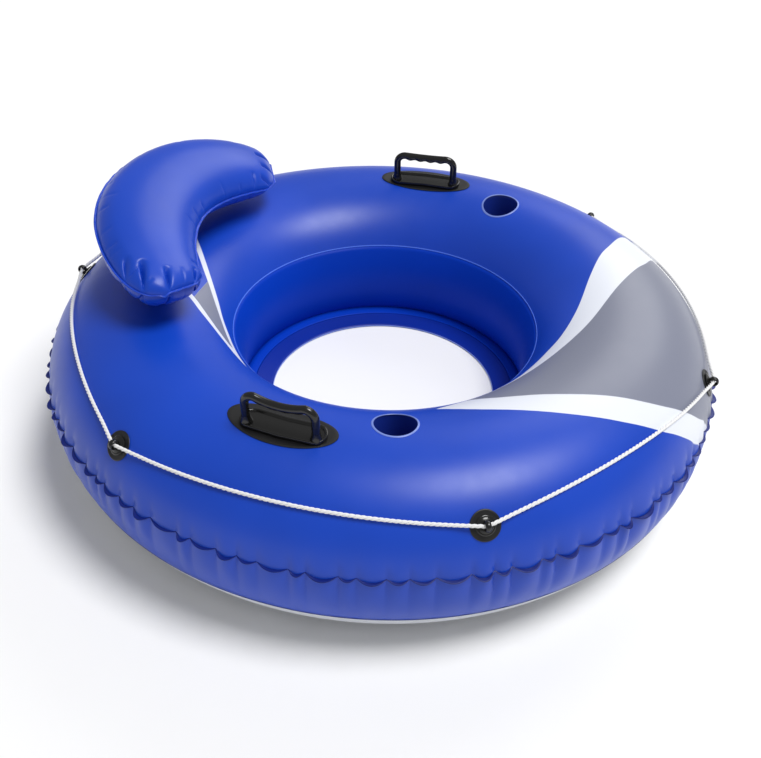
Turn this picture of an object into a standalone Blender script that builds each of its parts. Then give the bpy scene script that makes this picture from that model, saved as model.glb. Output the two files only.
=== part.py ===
"""River tube: an inflatable ring with a floor, a headrest, cup holders, handles and a grab rope.

Metres, +Z up. The ring stands on Z = 0. The foot end points to -Y and the head end, where the
headrest stands and the tube is fuller, to +Y. The pieces are made round the hole's axis, and in
the end the whole tube moves so that the origin is under the middle of its outline.
A place on the ring is given by two angles: theta goes round the ring from the foot end towards
+X, and section goes round the tube's own section, from 0 at the outermost line through
90 degrees at the crest to 180 inside.
"""
import math

import bmesh
import bpy
from mathutils import Matrix, Vector

# Ring: the tube's section is a slightly full ellipse, pressed flat where it rests
RING_OUTER_RADIUS = 0.660
TUBE_HALF_WIDTH = 0.1886
TUBE_HALF_HEIGHT = 0.179
TUBE_FULLNESS = 2.08
BASE_FLATTENING = 0.0023
RING_CENTRE_RADIUS = RING_OUTER_RADIUS - TUBE_HALF_WIDTH
RING_HOLE_RADIUS = RING_CENTRE_RADIUS - TUBE_HALF_WIDTH
TUBE_CENTRE_HEIGHT = TUBE_HALF_HEIGHT - BASE_FLATTENING
RING_STEPS = 48
TOP_ROWS = 11
SIDE_ROWS = 3
BOTTOM_ROWS = 7
INNER_ROWS = 4

# The tube's outer side is drawn in a little all round, and it swells out and up at the head end
OUTER_DRAW_IN = 0.0030
HEAD_SWELL_OUT = 0.0285
HEAD_SWELL_UP = 0.0089
HEAD_SWELL_POWER = 4.1

# Vinyl sheet and the gaps left between welded pieces
SHEET = 0.0005
GAP = 0.0003
CUTTER_DEPTH = 0.030
DISC_EASING = 0.0004

# Section angles of the weld lines, in degrees
OUTER_SEAM = 8.4
INNER_SEAM = 150.4
SIDE_BAND_FOOT = -25.6
INNER_BAND_FOOT = 205.6

# Scalloped weld flange round the outside
FLANGE_INNER_RADIUS = 0.6594
FLANGE_OUTER_RADIUS = 0.6670
FLANGE_WAVES = 96
FLANGE_WAVE_HEIGHT = 0.004

# Floor
COLLAR_OUTER_RADIUS = 0.2936
COLLAR_WELD_RADIUS = 0.2720
COLLAR_INNER_RADIUS = 0.2320
COLLAR_OUTER_HEIGHT = 0.1120
COLLAR_WELD_HEIGHT = 0.1085
COLLAR_INNER_HEIGHT = 0.1010
FLOOR_RADIUS = 0.2380
FLOOR_SAG = 0.010
FLOOR_RINGS = 2

# Cup holders
CUP_THETA = 70.8
CUP_RADIAL_PLACE = 0.432
CUP_HOLE_RADIUS = 0.0392
CUP_LINER_RADIUS = 0.0387
CUP_RIM_INNER_RADIUS = 0.0372
CUP_RIM_OUTER_RADIUS = 0.0418
CUP_RIM_THICKNESS = 0.0012
CUP_DEPTH = 0.118
CUP_COLLAR_DEPTH = 0.016
CUP_STEPS = 20
CUP_CUTTER_STEPS = 28

# Handles: where each patch and each handle stand round the ring, and how far each patch, and each handle's
# legs, stand off the handles' line towards the hole; both handles lean on the same side of the tube
HANDLE_PATCH_THETAS = {"left": -94.4, "right": 95.4}
HANDLE_THETAS = {"left": -93.6, "right": 95.5}
HANDLE_SECTION = 92.0
HANDLE_PATCH_SHIFT = {"left": -0.018, "right": 0.0}
HANDLE_SHIFT = {"left": -0.031, "right": 0.014}
PATCH_LIFT = 0.0008
HANDLE_PATCH_LENGTH = 0.204
HANDLE_PATCH_WIDTH = 0.090
HANDLE_PATCH_THICKNESS = 0.0010
HANDLE_BASE_LENGTH = 0.158
HANDLE_BASE_WIDTH = 0.046
HANDLE_BASE_THICKNESS = 0.004
HANDLE_BASE_EASING = 0.0015
HANDLE_STEPS = 20
HANDLE_CLEARANCE = 0.0010
GRIP_SPAN = 0.128
GRIP_HEIGHT = 0.064
GRIP_RADIUS = 0.0075
GRIP_CORNER = 0.018
GRIP_BOSS_RADIUS = 0.0115
GRIP_BOSS_HEIGHT = 0.009
GRIP_BOSS_FOOT = 0.001
GRIP_BOSS_STEPS = 14
FINGER_WAVES = 4
FINGER_WAVE_DEPTH = 0.10
GRIP_CORNER_STEPS = 4

# Rope eyes, each by its angle round the ring and its angle on the section, and the rope, which climbs
# the section by some degrees from each eye to half way to the next
EYE_PLACES = ((-175.5, 34.0), (-120.25, 36.5), (-58.0, 36.0), (1.0, 27.0), (59.0, 33.0), (118.0, 31.0))
ROPE_RISES = (12.5, 8.6, 14.3, 9.0, 9.0, 9.5)
ROPE_MEAN_SECTION = 36.5
EYE_PATCH_RADIUS = 0.0268
EYE_PATCH_THICKNESS = 0.0012
EYE_DOME_RADIUS = 0.0175
EYE_DOME_HEIGHT = 0.0045
EYE_RING_RADIUS = 0.0072
EYE_RING_THICKNESS = 0.0025
EYE_RING_LIFT = 0.0100
EYE_PATCH_STEPS = 16
EYE_DOME_STEPS = 12
EYE_RING_STEPS = 10
EYE_BAND_STEPS = 6
ROPE_RADIUS = 0.0034
ROPE_LIFT = ROPE_RADIUS + 0.0014
ROPE_EYE_FALL = 0.040
ROPE_POINTS_PER_SPAN = 12
ROPE_POINTLESS_AT_KNOT = 3.0
KNOT_THETA = 145.0
KNOT_RADIUS = 0.0085
KNOT_LENGTH = 0.024
KNOT_FALL = 0.030
KNOT_CLEARANCE = 0.0015
KNOT_STEPS = 12

# Headrest: a crescent cushion of two welded sheets, leaning back and turned a little on its web
HEADREST_Y = 0.485
HEADREST_Z = 0.4715
HEADREST_PITCH = 20.0
HEADREST_TURN = 2.9
HEADREST_ARC_RADIUS = 0.299
HEADREST_ARC_HALF_ANGLE = 62.2
HEADREST_WIDTH = 0.198
HEADREST_TIP_WIDTH = 0.118
HEADREST_CORNER = 0.036
HEADREST_CORNER_NARROWING = 0.36
HEADREST_CORNER_POWER = 2.4
HEADREST_TAPER_POWER = 3.0
HEADREST_SIDE_POWERS = (2.4, 0.55)
HEADREST_END_POWERS = (9.0, 0.5)
HEADREST_FULLNESS_POWER = 0.7
HEADREST_RISE = 0.048
HEADREST_DROP = 0.068
HEADREST_FLANGE = 0.0055
HEADREST_ROWS = 18
HEADREST_COLUMNS = 8
WEB_HALF_LENGTH = 0.100
WEB_Y = 0.4660
WEB_THICKNESS = 0.0008
WEB_STATIONS = 8
WEB_CLEARANCE = 0.0025
WEB_STRIP_WIDTH = 0.030
WEB_STRIP_THICKNESS = 0.0010
WEB_STRIP_STEPS = 16

# Air valves, given for the ring's own valve; the headrest's valve is smaller
MAIN_VALVE_THETA = 100.0
MAIN_VALVE_SECTION = -9.0
VALVE_FLANGE_RADIUS = 0.0225
VALVE_SLEEVE_RADIUS = 0.0105
VALVE_SLEEVE_BORE = 0.0094
VALVE_STEM_RADIUS = 0.0090
VALVE_BORE = 0.0053
VALVE_STEM_RIM = 0.0102
VALVE_SLEEVE_DEPTH = 0.0120
VALVE_STEM_DEPTH = 0.0160
VALVE_FLAP_RADIUS = 0.0068
VALVE_FLAP_THICKNESS = 0.0008
VALVE_PLUG_TOP = 0.0046
VALVE_PLUG_TIP = 0.0032
VALVE_PLUG_DEPTH = 0.0026
VALVE_FLANGE_THICKNESS = 0.0010
VALVE_RIM = (0.0013, 0.0026)
VALVE_CAP = (0.0029, 0.0047)
VALVE_CAP_RADIUS = 0.0102
VALVE_HINGE_X = 0.0124
VALVE_HINGE_Z = 0.00275
VALVE_TAB_HALF_WIDTH = 0.0022
VALVE_PULL_REACH = 0.0135
VALVE_LUG_INSET = 0.0001
VALVE_LUG_DROP = 0.0005
VALVE_HINGE_GAP = 0.0004
VALVE_CAP_EASING = 0.0008
VALVE_STEPS = 14
HEADREST_VALVE_ALONG = 0.30
HEADREST_VALVE_ACROSS = 0.62
HEADREST_VALVE_SCALE = 0.72

# Colours and gloss: base colour, roughness, metallic
FINISHES = {
    "blue_vinyl": ((0.012, 0.052, 0.48), 0.42, 0.0),
    "deep_blue_vinyl": ((0.006, 0.025, 0.30), 0.45, 0.0),
    "grey_vinyl": ((0.62, 0.63, 0.68), 0.45, 0.0),
    "white_vinyl": ((0.82, 0.83, 0.87), 0.50, 0.0),
    "navy_vinyl": ((0.004, 0.008, 0.055), 0.50, 0.0),
    "pale_vinyl": ((0.55, 0.62, 0.85), 0.40, 0.0),
    "black_vinyl": ((0.016, 0.016, 0.017), 0.55, 0.0),
    "black_plastic": ((0.006, 0.006, 0.007), 0.25, 0.0),
    "white_rope": ((0.85, 0.85, 0.85), 0.80, 0.0),
    "clear_plastic": ((0.30, 0.36, 0.60), 0.30, 0.0),
}


def clear_scene():
    """Remove the objects that the file opens with."""
    for item in list(bpy.data.objects):
        bpy.data.objects.remove(item, do_unlink=True)


def new_collection(name):
    """A collection in the scene."""
    group = bpy.data.collections.new(name)
    bpy.context.scene.collection.children.link(group)
    return group


def finish(name):
    """The Principled material of that name, made on its first use."""
    if name in bpy.data.materials:
        return bpy.data.materials[name]
    colour, roughness, metallic = FINISHES[name]
    made = bpy.data.materials.new(name)
    made.use_nodes = True
    shader = made.node_tree.nodes["Principled BSDF"]
    shader.inputs["Base Color"].default_value = (*colour, 1.0)
    shader.inputs["Roughness"].default_value = roughness
    shader.inputs["Metallic"].default_value = metallic
    made.diffuse_color = (*colour, 1.0)
    return made


# Places on the ring


def power(value, exponent):
    """A signed power, for the full ellipse of the tube's section."""
    return math.copysign(abs(value) ** exponent, value)


def section_offset(section):
    """Radial and vertical distance from the tube's centre line, for a section angle in degrees."""
    angle = math.radians(section)
    exponent = 2.0 / TUBE_FULLNESS
    across = TUBE_HALF_WIDTH * power(math.cos(angle), exponent)
    up = TUBE_HALF_HEIGHT * power(math.sin(angle), exponent)
    return across, up


def outness(radius):
    """Share of the way from the hole to the ring's outermost line."""
    return max((radius - RING_HOLE_RADIUS) / (2.0 * TUBE_HALF_WIDTH), 0.0)


def swell(place):
    """Where a point of an even ring lies on this one, whose tube is fuller at the head end."""
    radius = place.xy.length
    share = outness(radius) ** 2
    headward = max(0.5 * (1.0 + place.y / radius), 0.0) ** HEAD_SWELL_POWER
    grown = 1.0 + share * (HEAD_SWELL_OUT * headward - OUTER_DRAW_IN) / radius
    rise = share * HEAD_SWELL_UP * headward * place.z / (2.0 * TUBE_HALF_HEIGHT)
    return Vector((place.x * grown, place.y * grown, place.z + rise))


def skin_point(theta, section):
    """A point of the tube's skin."""
    across, up = section_offset(section)
    angle = math.radians(theta)
    place = Vector((math.sin(angle), -math.cos(angle), 0.0)) * (RING_CENTRE_RADIUS + across)
    place.z = max(TUBE_CENTRE_HEIGHT + up, 0.0)
    return swell(place)


def ring_frame(theta, section, lift=0.0):
    """Frame on the tube's skin: X round the ring, Y up the section, Z outwards."""
    step = 0.05
    tangent = (skin_point(theta + step, section) - skin_point(theta - step, section)).normalized()
    climb = skin_point(theta, section + step) - skin_point(theta, section - step)
    normal = tangent.cross(climb).normalized()
    frame = Matrix((tangent, normal.cross(tangent), normal)).transposed().to_4x4()
    frame.translation = skin_point(theta, section) + normal * lift
    return frame


def arc_per_degree(section):
    """Length of one degree of the section there."""
    before = Vector(section_offset(section - 0.5))
    after = Vector(section_offset(section + 0.5))
    return (after - before).length


# Making pieces


def place_object(name, mesh, look, group):
    """An object for a mesh, with its material."""
    piece = bpy.data.objects.new(name, mesh)
    mesh.materials.clear()
    mesh.materials.append(finish(look))
    group.objects.link(piece)
    return piece


def turned(name, profile, steps, look, group, closed=False):
    """A turned piece: the profile, in (radius, height), swept round Z."""
    edges = [(index, index + 1) for index in range(len(profile) - 1)]
    if closed:
        edges.append((len(profile) - 1, 0))
    mesh = bpy.data.meshes.new(name)
    mesh.from_pydata([(radius, 0.0, height) for radius, height in profile], edges, [])
    piece = place_object(name, mesh, look, group)
    sweep = piece.modifiers.new("sweep", "SCREW")
    sweep.axis = "Z"
    sweep.angle = math.tau
    sweep.steps = steps
    sweep.render_steps = steps
    sweep.use_merge_vertices = True
    sweep.merge_threshold = 0.00001
    sweep.use_smooth_shade = True
    return piece


def add_wall(piece, thickness, offset=-1.0):
    """Give an open surface its sheet thickness."""
    wall = piece.modifiers.new("wall", "SOLIDIFY")
    wall.thickness = thickness
    wall.offset = offset
    wall.use_even_offset = True


def settle(piece):
    """Replace the piece's mesh by what its modifiers make, with doubles merged."""
    graph = bpy.context.evaluated_depsgraph_get()
    made = bpy.data.meshes.new_from_object(piece.evaluated_get(graph))
    shape = bmesh.new()
    shape.from_mesh(made)
    bmesh.ops.remove_doubles(shape, verts=shape.verts, dist=0.00001)
    shape.to_mesh(made)
    shape.free()
    look = piece.data.materials[0]
    piece.modifiers.clear()
    piece.data = made
    made.materials.clear()
    made.materials.append(look)
    return piece


def smooth(piece, angle=40.0):
    """Shade a settled round piece smooth, with sharp edges past the angle."""
    piece.data.shade_smooth()
    piece.data.set_sharp_from_angle(angle=math.radians(angle))
    return piece


def shift_mesh(piece, matrix):
    """Move a piece's mesh, and not its object."""
    piece.data.transform(matrix)
    return piece


def merge_pieces(target, others):
    """Join overlapping solids into one body."""
    for number, other in enumerate(others):
        union = target.modifiers.new("join_%d" % number, "BOOLEAN")
        union.operation = "UNION"
        union.solver = "EXACT"
        union.object = other
    settle(target)
    for other in others:
        bpy.data.objects.remove(other, do_unlink=True)
    return target


def cut(piece, cutter):
    """Cut a guide's shape out of a piece."""
    cutter.hide_render = True
    cutter.display_type = "WIRE"
    hole = piece.modifiers.new("cut", "BOOLEAN")
    hole.operation = "DIFFERENCE"
    hole.solver = "EXACT"
    hole.object = cutter


def curve_mesh(name, curve, group):
    """The mesh of a curve, with its caps joined on."""
    guide = bpy.data.objects.new(name + "_path", curve)
    group.objects.link(guide)
    graph = bpy.context.evaluated_depsgraph_get()
    mesh = bpy.data.meshes.new_from_object(guide.evaluated_get(graph))
    mesh.name = name
    shape = bmesh.new()
    shape.from_mesh(mesh)
    bmesh.ops.remove_doubles(shape, verts=shape.verts, dist=0.00001)
    shape.to_mesh(mesh)
    shape.free()
    bpy.data.objects.remove(guide, do_unlink=True)
    return mesh


def tube(name, points, radius, look, group, resolution=2, scales=None):
    """A rod of round section along the points, with closed ends, as a mesh."""
    curve = bpy.data.curves.new(name, "CURVE")
    curve.dimensions = "3D"
    curve.bevel_depth = radius
    curve.bevel_resolution = resolution
    curve.use_fill_caps = True
    spline = curve.splines.new("POLY")
    spline.points.add(len(points) - 1)
    for number, point in enumerate(points):
        spline.points[number].co = (*point, 1.0)
        spline.points[number].radius = scales[number] if scales else 1.0
    return place_object(name, curve_mesh(name, curve, group), look, group)


def round_bar(name, radius, depth, matrix, look, group, steps=24):
    """A cylinder along the frame's Z, centred on it."""
    mesh = bpy.data.meshes.new(name)
    shape = bmesh.new()
    bmesh.ops.create_cone(shape, cap_ends=True, segments=steps, radius1=radius, radius2=radius, depth=depth)
    shape.to_mesh(mesh)
    shape.free()
    mesh.transform(matrix)
    return place_object(name, mesh, look, group)


def drape(piece, theta, section):
    """Bend a flat piece, modelled round the origin with Z up, onto the tube's skin."""
    radius = RING_CENTRE_RADIUS + section_offset(section)[0]
    rise = arc_per_degree(section)
    for vertex in piece.data.vertices:
        x, y, z = vertex.co
        turn = theta + math.degrees(x / radius)
        vertex.co = ring_frame(turn, section + y / rise, z).translation
    return piece


def disc_profile(radius, thickness, rings, edge=DISC_EASING):
    """Half section of a flat disc with eased edges, from its top centre to its underside."""
    stations = [radius * number / rings for number in range(rings)]
    top = [(station, thickness) for station in stations]
    rim = [(radius - edge, thickness), (radius, thickness - edge), (radius, 0.0)]
    underside = [(station, 0.0) for station in reversed(stations)]
    return top + rim + underside


# The ring


def ring_panel(name, start, end, rows, look, group):
    """A welded panel of the tube, between two section angles, wound from start down to end."""
    trim = math.degrees(0.5 * GAP / TUBE_HALF_WIDTH) + 0.01
    first, last = start - trim, end + trim
    profile = []
    for row in range(rows + 1):
        across, up = section_offset(first + (last - first) * row / rows)
        profile.append((RING_CENTRE_RADIUS + across, max(TUBE_CENTRE_HEIGHT + up, 0.0)))
    panel = settle(turned(name, profile, RING_STEPS, look, group))
    for vertex in panel.data.vertices:
        vertex.co = swell(vertex.co)
    add_wall(panel, SHEET)
    return panel


def ring_panels(group, cutters):
    """The four panels of the tube, with the openings for the cups and the valve."""
    top = ring_panel("ring_top_panel", INNER_SEAM, OUTER_SEAM, TOP_ROWS, "blue_vinyl", group)
    side = ring_panel("ring_side_band", OUTER_SEAM, SIDE_BAND_FOOT, SIDE_ROWS, "blue_vinyl", group)
    ring_panel("ring_bottom_panel", SIDE_BAND_FOOT, INNER_BAND_FOOT - 360.0, BOTTOM_ROWS,
               "grey_vinyl", group)
    ring_panel("ring_inner_band", INNER_BAND_FOOT, INNER_SEAM, INNER_ROWS, "blue_vinyl", group)
    for side_name, sign in (("left", -1), ("right", 1)):
        place = Matrix.Translation((*cup_centre(sign), cup_rim_height()))
        bar = round_bar("cup_cutter_" + side_name, CUP_HOLE_RADIUS, CUTTER_DEPTH, place, "grey_vinyl",
                        cutters, CUP_CUTTER_STEPS)
        cut(top, bar)
    frame = ring_frame(MAIN_VALVE_THETA, MAIN_VALVE_SECTION)
    bar = round_bar("valve_cutter", VALVE_SLEEVE_RADIUS + GAP, CUTTER_DEPTH, frame, "grey_vinyl", cutters)
    cut(side, bar)


def weld_flange(group):
    """The scalloped edge where the top panel and the side band are welded together."""
    height = TUBE_CENTRE_HEIGHT + section_offset(OUTER_SEAM)[1]
    profile = [(FLANGE_INNER_RADIUS, height), (FLANGE_OUTER_RADIUS, height)]
    flange = turned("outer_weld_flange", profile, 2 * FLANGE_WAVES, "blue_vinyl", group)
    settle(flange)
    width = FLANGE_OUTER_RADIUS - FLANGE_INNER_RADIUS
    for vertex in flange.data.vertices:
        share = (vertex.co.xy.length - FLANGE_INNER_RADIUS) / width
        turn = math.atan2(vertex.co.y, vertex.co.x)
        wave = math.sin(FLANGE_WAVES * turn + math.pi / 2)
        vertex.co.z += FLANGE_WAVE_HEIGHT * wave * (0.3 + 0.7 * share)
        vertex.co = swell(vertex.co)
    add_wall(flange, 2 * SHEET, 0.0)


# The floor


def floor(group):
    """The blue collar welded into the ring, and the white floor inside it."""
    collar = turned("floor_collar", [
        (COLLAR_INNER_RADIUS, COLLAR_INNER_HEIGHT),
        (COLLAR_WELD_RADIUS, COLLAR_WELD_HEIGHT),
        (COLLAR_OUTER_RADIUS, COLLAR_OUTER_HEIGHT),
    ], RING_STEPS, "deep_blue_vinyl", group)
    add_wall(collar, 2 * SHEET)
    edge_height = COLLAR_INNER_HEIGHT - 2 * SHEET - GAP
    top = []
    for number in range(FLOOR_RINGS + 1):
        share = number / FLOOR_RINGS
        top.append((FLOOR_RADIUS * share, edge_height - FLOOR_SAG * (1.0 - share ** 2)))
    panel = turned("floor_panel", top, RING_STEPS // 2, "white_vinyl", group)
    add_wall(panel, 2 * SHEET)


# Cup holders


def cup_centre(sign):
    """Centre of a cup holder, seen from above."""
    angle = math.radians(CUP_THETA) * sign
    return CUP_RADIAL_PLACE * math.sin(angle), -CUP_RADIAL_PLACE * math.cos(angle)


def skin_height(x, y):
    """Height of the tube's upper skin over a point."""
    reach = math.hypot(x, y)
    radius = reach
    for _ in range(6):
        share = abs((radius - RING_CENTRE_RADIUS) / TUBE_HALF_WIDTH)
        height = TUBE_HALF_HEIGHT * (1.0 - share ** TUBE_FULLNESS) ** (1.0 / TUBE_FULLNESS)
        spot = swell(Vector((x * radius / reach, y * radius / reach, TUBE_CENTRE_HEIGHT + height)))
        radius += reach - spot.xy.length
    return spot.z


def cup_rim_height():
    """Height of the skin at a cup holder's centre."""
    return skin_height(*cup_centre(1))


def follow_skin(piece, centre, base):
    """Raise a piece's vertices by how far the skin there stands above the cup holder's centre."""
    for vertex in piece.data.vertices:
        if vertex.co.z < base:
            continue
        vertex.co.z += skin_height(vertex.co.x + centre[0], vertex.co.y + centre[1]) - cup_rim_height()


def cup_holders(group):
    """Two cup holders: a liner that hangs in the tube, and a welded rim."""
    for side_name, sign in (("left", -1), ("right", 1)):
        centre = cup_centre(sign)
        liner = turned("cup_liner_" + side_name, [
            (CUP_LINER_RADIUS, 0.0),
            (CUP_LINER_RADIUS, -CUP_COLLAR_DEPTH),
            (CUP_LINER_RADIUS - 0.0005, -0.55 * CUP_DEPTH),
            (CUP_LINER_RADIUS - 0.0020, -CUP_DEPTH + 0.006),
            (CUP_LINER_RADIUS - 0.0070, -CUP_DEPTH),
            (0.0, -CUP_DEPTH),
        ], CUP_STEPS, "navy_vinyl", group)
        add_wall(liner, SHEET)
        settle(liner)
        follow_skin(liner, centre, -0.5 * CUP_COLLAR_DEPTH)
        smooth(liner)
        liner.location = (*centre, cup_rim_height() - GAP)
        rim = turned("cup_rim_" + side_name, [
            (CUP_RIM_INNER_RADIUS, CUP_RIM_THICKNESS),
            (CUP_RIM_OUTER_RADIUS, CUP_RIM_THICKNESS),
            (CUP_RIM_OUTER_RADIUS, 0.0),
            (CUP_RIM_INNER_RADIUS, 0.0),
        ], CUP_STEPS, "pale_vinyl", group, closed=True)
        settle(rim)
        follow_skin(rim, centre, -1.0)
        smooth(rim)
        rim.location = (*centre, cup_rim_height() + 2 * GAP)


# Handles


def grip_path():
    """Points and radius scales of a handle's grip, from one foot to the other."""
    half = 0.5 * GRIP_SPAN
    foot = 0.5 * HANDLE_BASE_THICKNESS
    points = [(-half, 0.0, foot), (-half, 0.0, 0.45 * GRIP_HEIGHT), (-half, 0.0, GRIP_HEIGHT - GRIP_CORNER)]
    for step in range(1, GRIP_CORNER_STEPS + 1):
        angle = 0.5 * math.pi * step / GRIP_CORNER_STEPS
        points.append((-half + GRIP_CORNER * (1.0 - math.cos(angle)), 0.0,
                       GRIP_HEIGHT - GRIP_CORNER + GRIP_CORNER * math.sin(angle)))
    bar_steps = 2 * FINGER_WAVES
    bar_start = -half + GRIP_CORNER
    for step in range(1, bar_steps):
        points.append((bar_start - 2 * bar_start * step / bar_steps, 0.0, GRIP_HEIGHT))
    leg = [1.0] * (3 + GRIP_CORNER_STEPS)
    waves = [1.0 + FINGER_WAVE_DEPTH * (step % 2) for step in range(1, bar_steps)]
    mirrored = [(-x, y, z) for x, y, z in reversed(points[:len(leg)])]
    return points + mirrored, leg + waves + leg


def handle_base(name, frame, theta, section, group):
    """The moulded oval that a grip stands on, bent to the tube, in the grip's own frame."""
    base = turned(name, disc_profile(0.5 * HANDLE_BASE_WIDTH, HANDLE_BASE_THICKNESS, 1, HANDLE_BASE_EASING),
                  HANDLE_STEPS, "black_plastic", group)
    settle(base)
    stretch = 0.5 * (HANDLE_BASE_LENGTH - HANDLE_BASE_WIDTH)
    for vertex in base.data.vertices:
        if abs(vertex.co.x) > 0.0001:
            vertex.co.x += math.copysign(stretch, vertex.co.x)
        vertex.co.z += PATCH_LIFT + HANDLE_PATCH_THICKNESS + HANDLE_CLEARANCE
    drape(base, theta, section)
    return shift_mesh(base, frame.inverted())


def handles(group):
    """Two grab handles: an oval vinyl patch, and a rigid moulded handle standing on it."""
    rise = arc_per_degree(HANDLE_SECTION)
    for side_name, theta in HANDLE_THETAS.items():
        patch = turned("handle_patch_" + side_name,
                       disc_profile(0.5 * HANDLE_PATCH_WIDTH, HANDLE_PATCH_THICKNESS, 2),
                       HANDLE_STEPS, "black_vinyl", group)
        settle(patch)
        shift_mesh(patch, Matrix.Diagonal((HANDLE_PATCH_LENGTH / HANDLE_PATCH_WIDTH, 1.0, 1.0, 1.0)))
        shift_mesh(patch, Matrix.Translation((0.0, 0.0, PATCH_LIFT)))
        patch_shift = HANDLE_PATCH_SHIFT[side_name]
        smooth(drape(patch, HANDLE_PATCH_THETAS[side_name], HANDLE_SECTION + patch_shift / rise))

        shift = HANDLE_SHIFT[side_name]
        lift = PATCH_LIFT + HANDLE_PATCH_THICKNESS + HANDLE_CLEARANCE
        frame = ring_frame(theta, HANDLE_SECTION + shift / rise, lift)
        between = HANDLE_SECTION + 0.5 * (shift + patch_shift) / rise
        base = handle_base("handle_" + side_name, frame, theta, between, group)
        points, scales = grip_path()
        bosses = [tube("grip", points, GRIP_RADIUS, "black_plastic", group, 2, scales)]
        for end in (-1, 1):
            spot = Matrix.Translation((0.5 * end * GRIP_SPAN, 0.0, GRIP_BOSS_FOOT + 0.5 * GRIP_BOSS_HEIGHT))
            bosses.append(round_bar("boss", GRIP_BOSS_RADIUS, GRIP_BOSS_HEIGHT, spot,
                                    "black_plastic", group, GRIP_BOSS_STEPS))
        merge_pieces(base, bosses)
        smooth(base)
        base.matrix_world = frame


# Rope eyes and rope


def rope_eyes(group):
    """Six eyes round the ring: a vinyl patch, and a moulded dome with the eye on it."""
    for number, (theta, section) in enumerate(EYE_PLACES):
        patch = turned("rope_patch_%d" % (number + 1),
                       disc_profile(EYE_PATCH_RADIUS, EYE_PATCH_THICKNESS, 1),
                       EYE_PATCH_STEPS, "black_vinyl", group)
        settle(patch)
        shift_mesh(patch, Matrix.Translation((0.0, 0.0, PATCH_LIFT)))
        smooth(drape(patch, theta, section))

        dome = turned("rope_eye_%d" % (number + 1), [
            (0.0, EYE_DOME_HEIGHT),
            (0.60 * EYE_DOME_RADIUS, 0.92 * EYE_DOME_HEIGHT),
            (0.90 * EYE_DOME_RADIUS, 0.45 * EYE_DOME_HEIGHT),
            (EYE_DOME_RADIUS, 0.0),
            (0.0, 0.0),
        ], EYE_DOME_STEPS, "black_plastic", group)
        settle(dome)
        angles = [math.tau * (0.25 - step / EYE_BAND_STEPS) for step in range(EYE_BAND_STEPS)]
        sleeve = turned("sleeve", [
            (EYE_RING_RADIUS + EYE_RING_THICKNESS * math.cos(angle), EYE_RING_THICKNESS * math.sin(angle))
            for angle in angles
        ], EYE_RING_STEPS, "black_plastic", group, closed=True)
        settle(sleeve)
        sleeve.matrix_world = Matrix.Translation((0.0, 0.0, EYE_RING_LIFT)) @ Matrix.Rotation(
            math.radians(90.0), 4, "Y")
        merge_pieces(dome, [sleeve])
        smooth(dome, 50.0)
        lift = PATCH_LIFT + EYE_PATCH_THICKNESS + GAP
        dome.matrix_world = ring_frame(theta, section, lift)


def angle_apart(theta, other):
    """Smallest angle between two places round the ring."""
    return abs((theta - other + 180.0) % 360.0 - 180.0)


def rope_span(theta):
    """Share of the way between two eyes, their angle apart, their sections and the rope's rise there."""
    before, start, rise = min(((theta - angle) % 360.0, section, rise)
                              for (angle, section), rise in zip(EYE_PLACES, ROPE_RISES))
    after, end = min(((angle - theta) % 360.0, section) for angle, section in EYE_PLACES)
    span = before + after
    return (before / span if span > 0.0 else 0.0), span, start, end, rise


def rope_place(theta):
    """Centre of the rope at an angle round the ring: it climbs between eyes and passes through each."""
    share, span, start, end, rise = rope_span(theta)
    section = start + (end - start) * share + rise * (1.0 - (2.0 * share - 1.0) ** 2)
    to_metres = math.radians(1.0) * (RING_CENTRE_RADIUS + section_offset(ROPE_MEAN_SECTION)[0])
    from_eye = min(share, 1.0 - share) * span * to_metres
    eye_lift = PATCH_LIFT + EYE_PATCH_THICKNESS + GAP + EYE_RING_LIFT
    lift = ROPE_LIFT + (eye_lift - ROPE_LIFT) * math.exp(-(from_eye / ROPE_EYE_FALL) ** 2)
    from_knot = angle_apart(theta, KNOT_THETA) * to_metres
    knot_lift = KNOT_RADIUS + KNOT_CLEARANCE
    lift += max(knot_lift - lift, 0.0) * math.exp(-(from_knot / KNOT_FALL) ** 2)
    return ring_frame(theta, section, lift).translation


def rope_stations():
    """Angles of the rope's points, from past the knot round to the knot again, with one at each eye."""
    stations = []
    eyes = [angle for angle, section in EYE_PLACES]
    for eye in eyes:
        step = min((other - eye) % 360.0 or 360.0 for other in eyes) / ROPE_POINTS_PER_SPAN
        stations += [eye + step * count for count in range(ROPE_POINTS_PER_SPAN)]
    past_knot = sorted((station - KNOT_THETA) % 360.0 for station in stations)
    return [KNOT_THETA + angle for angle in past_knot
            if ROPE_POINTLESS_AT_KNOT < angle < 360.0 - ROPE_POINTLESS_AT_KNOT]


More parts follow.
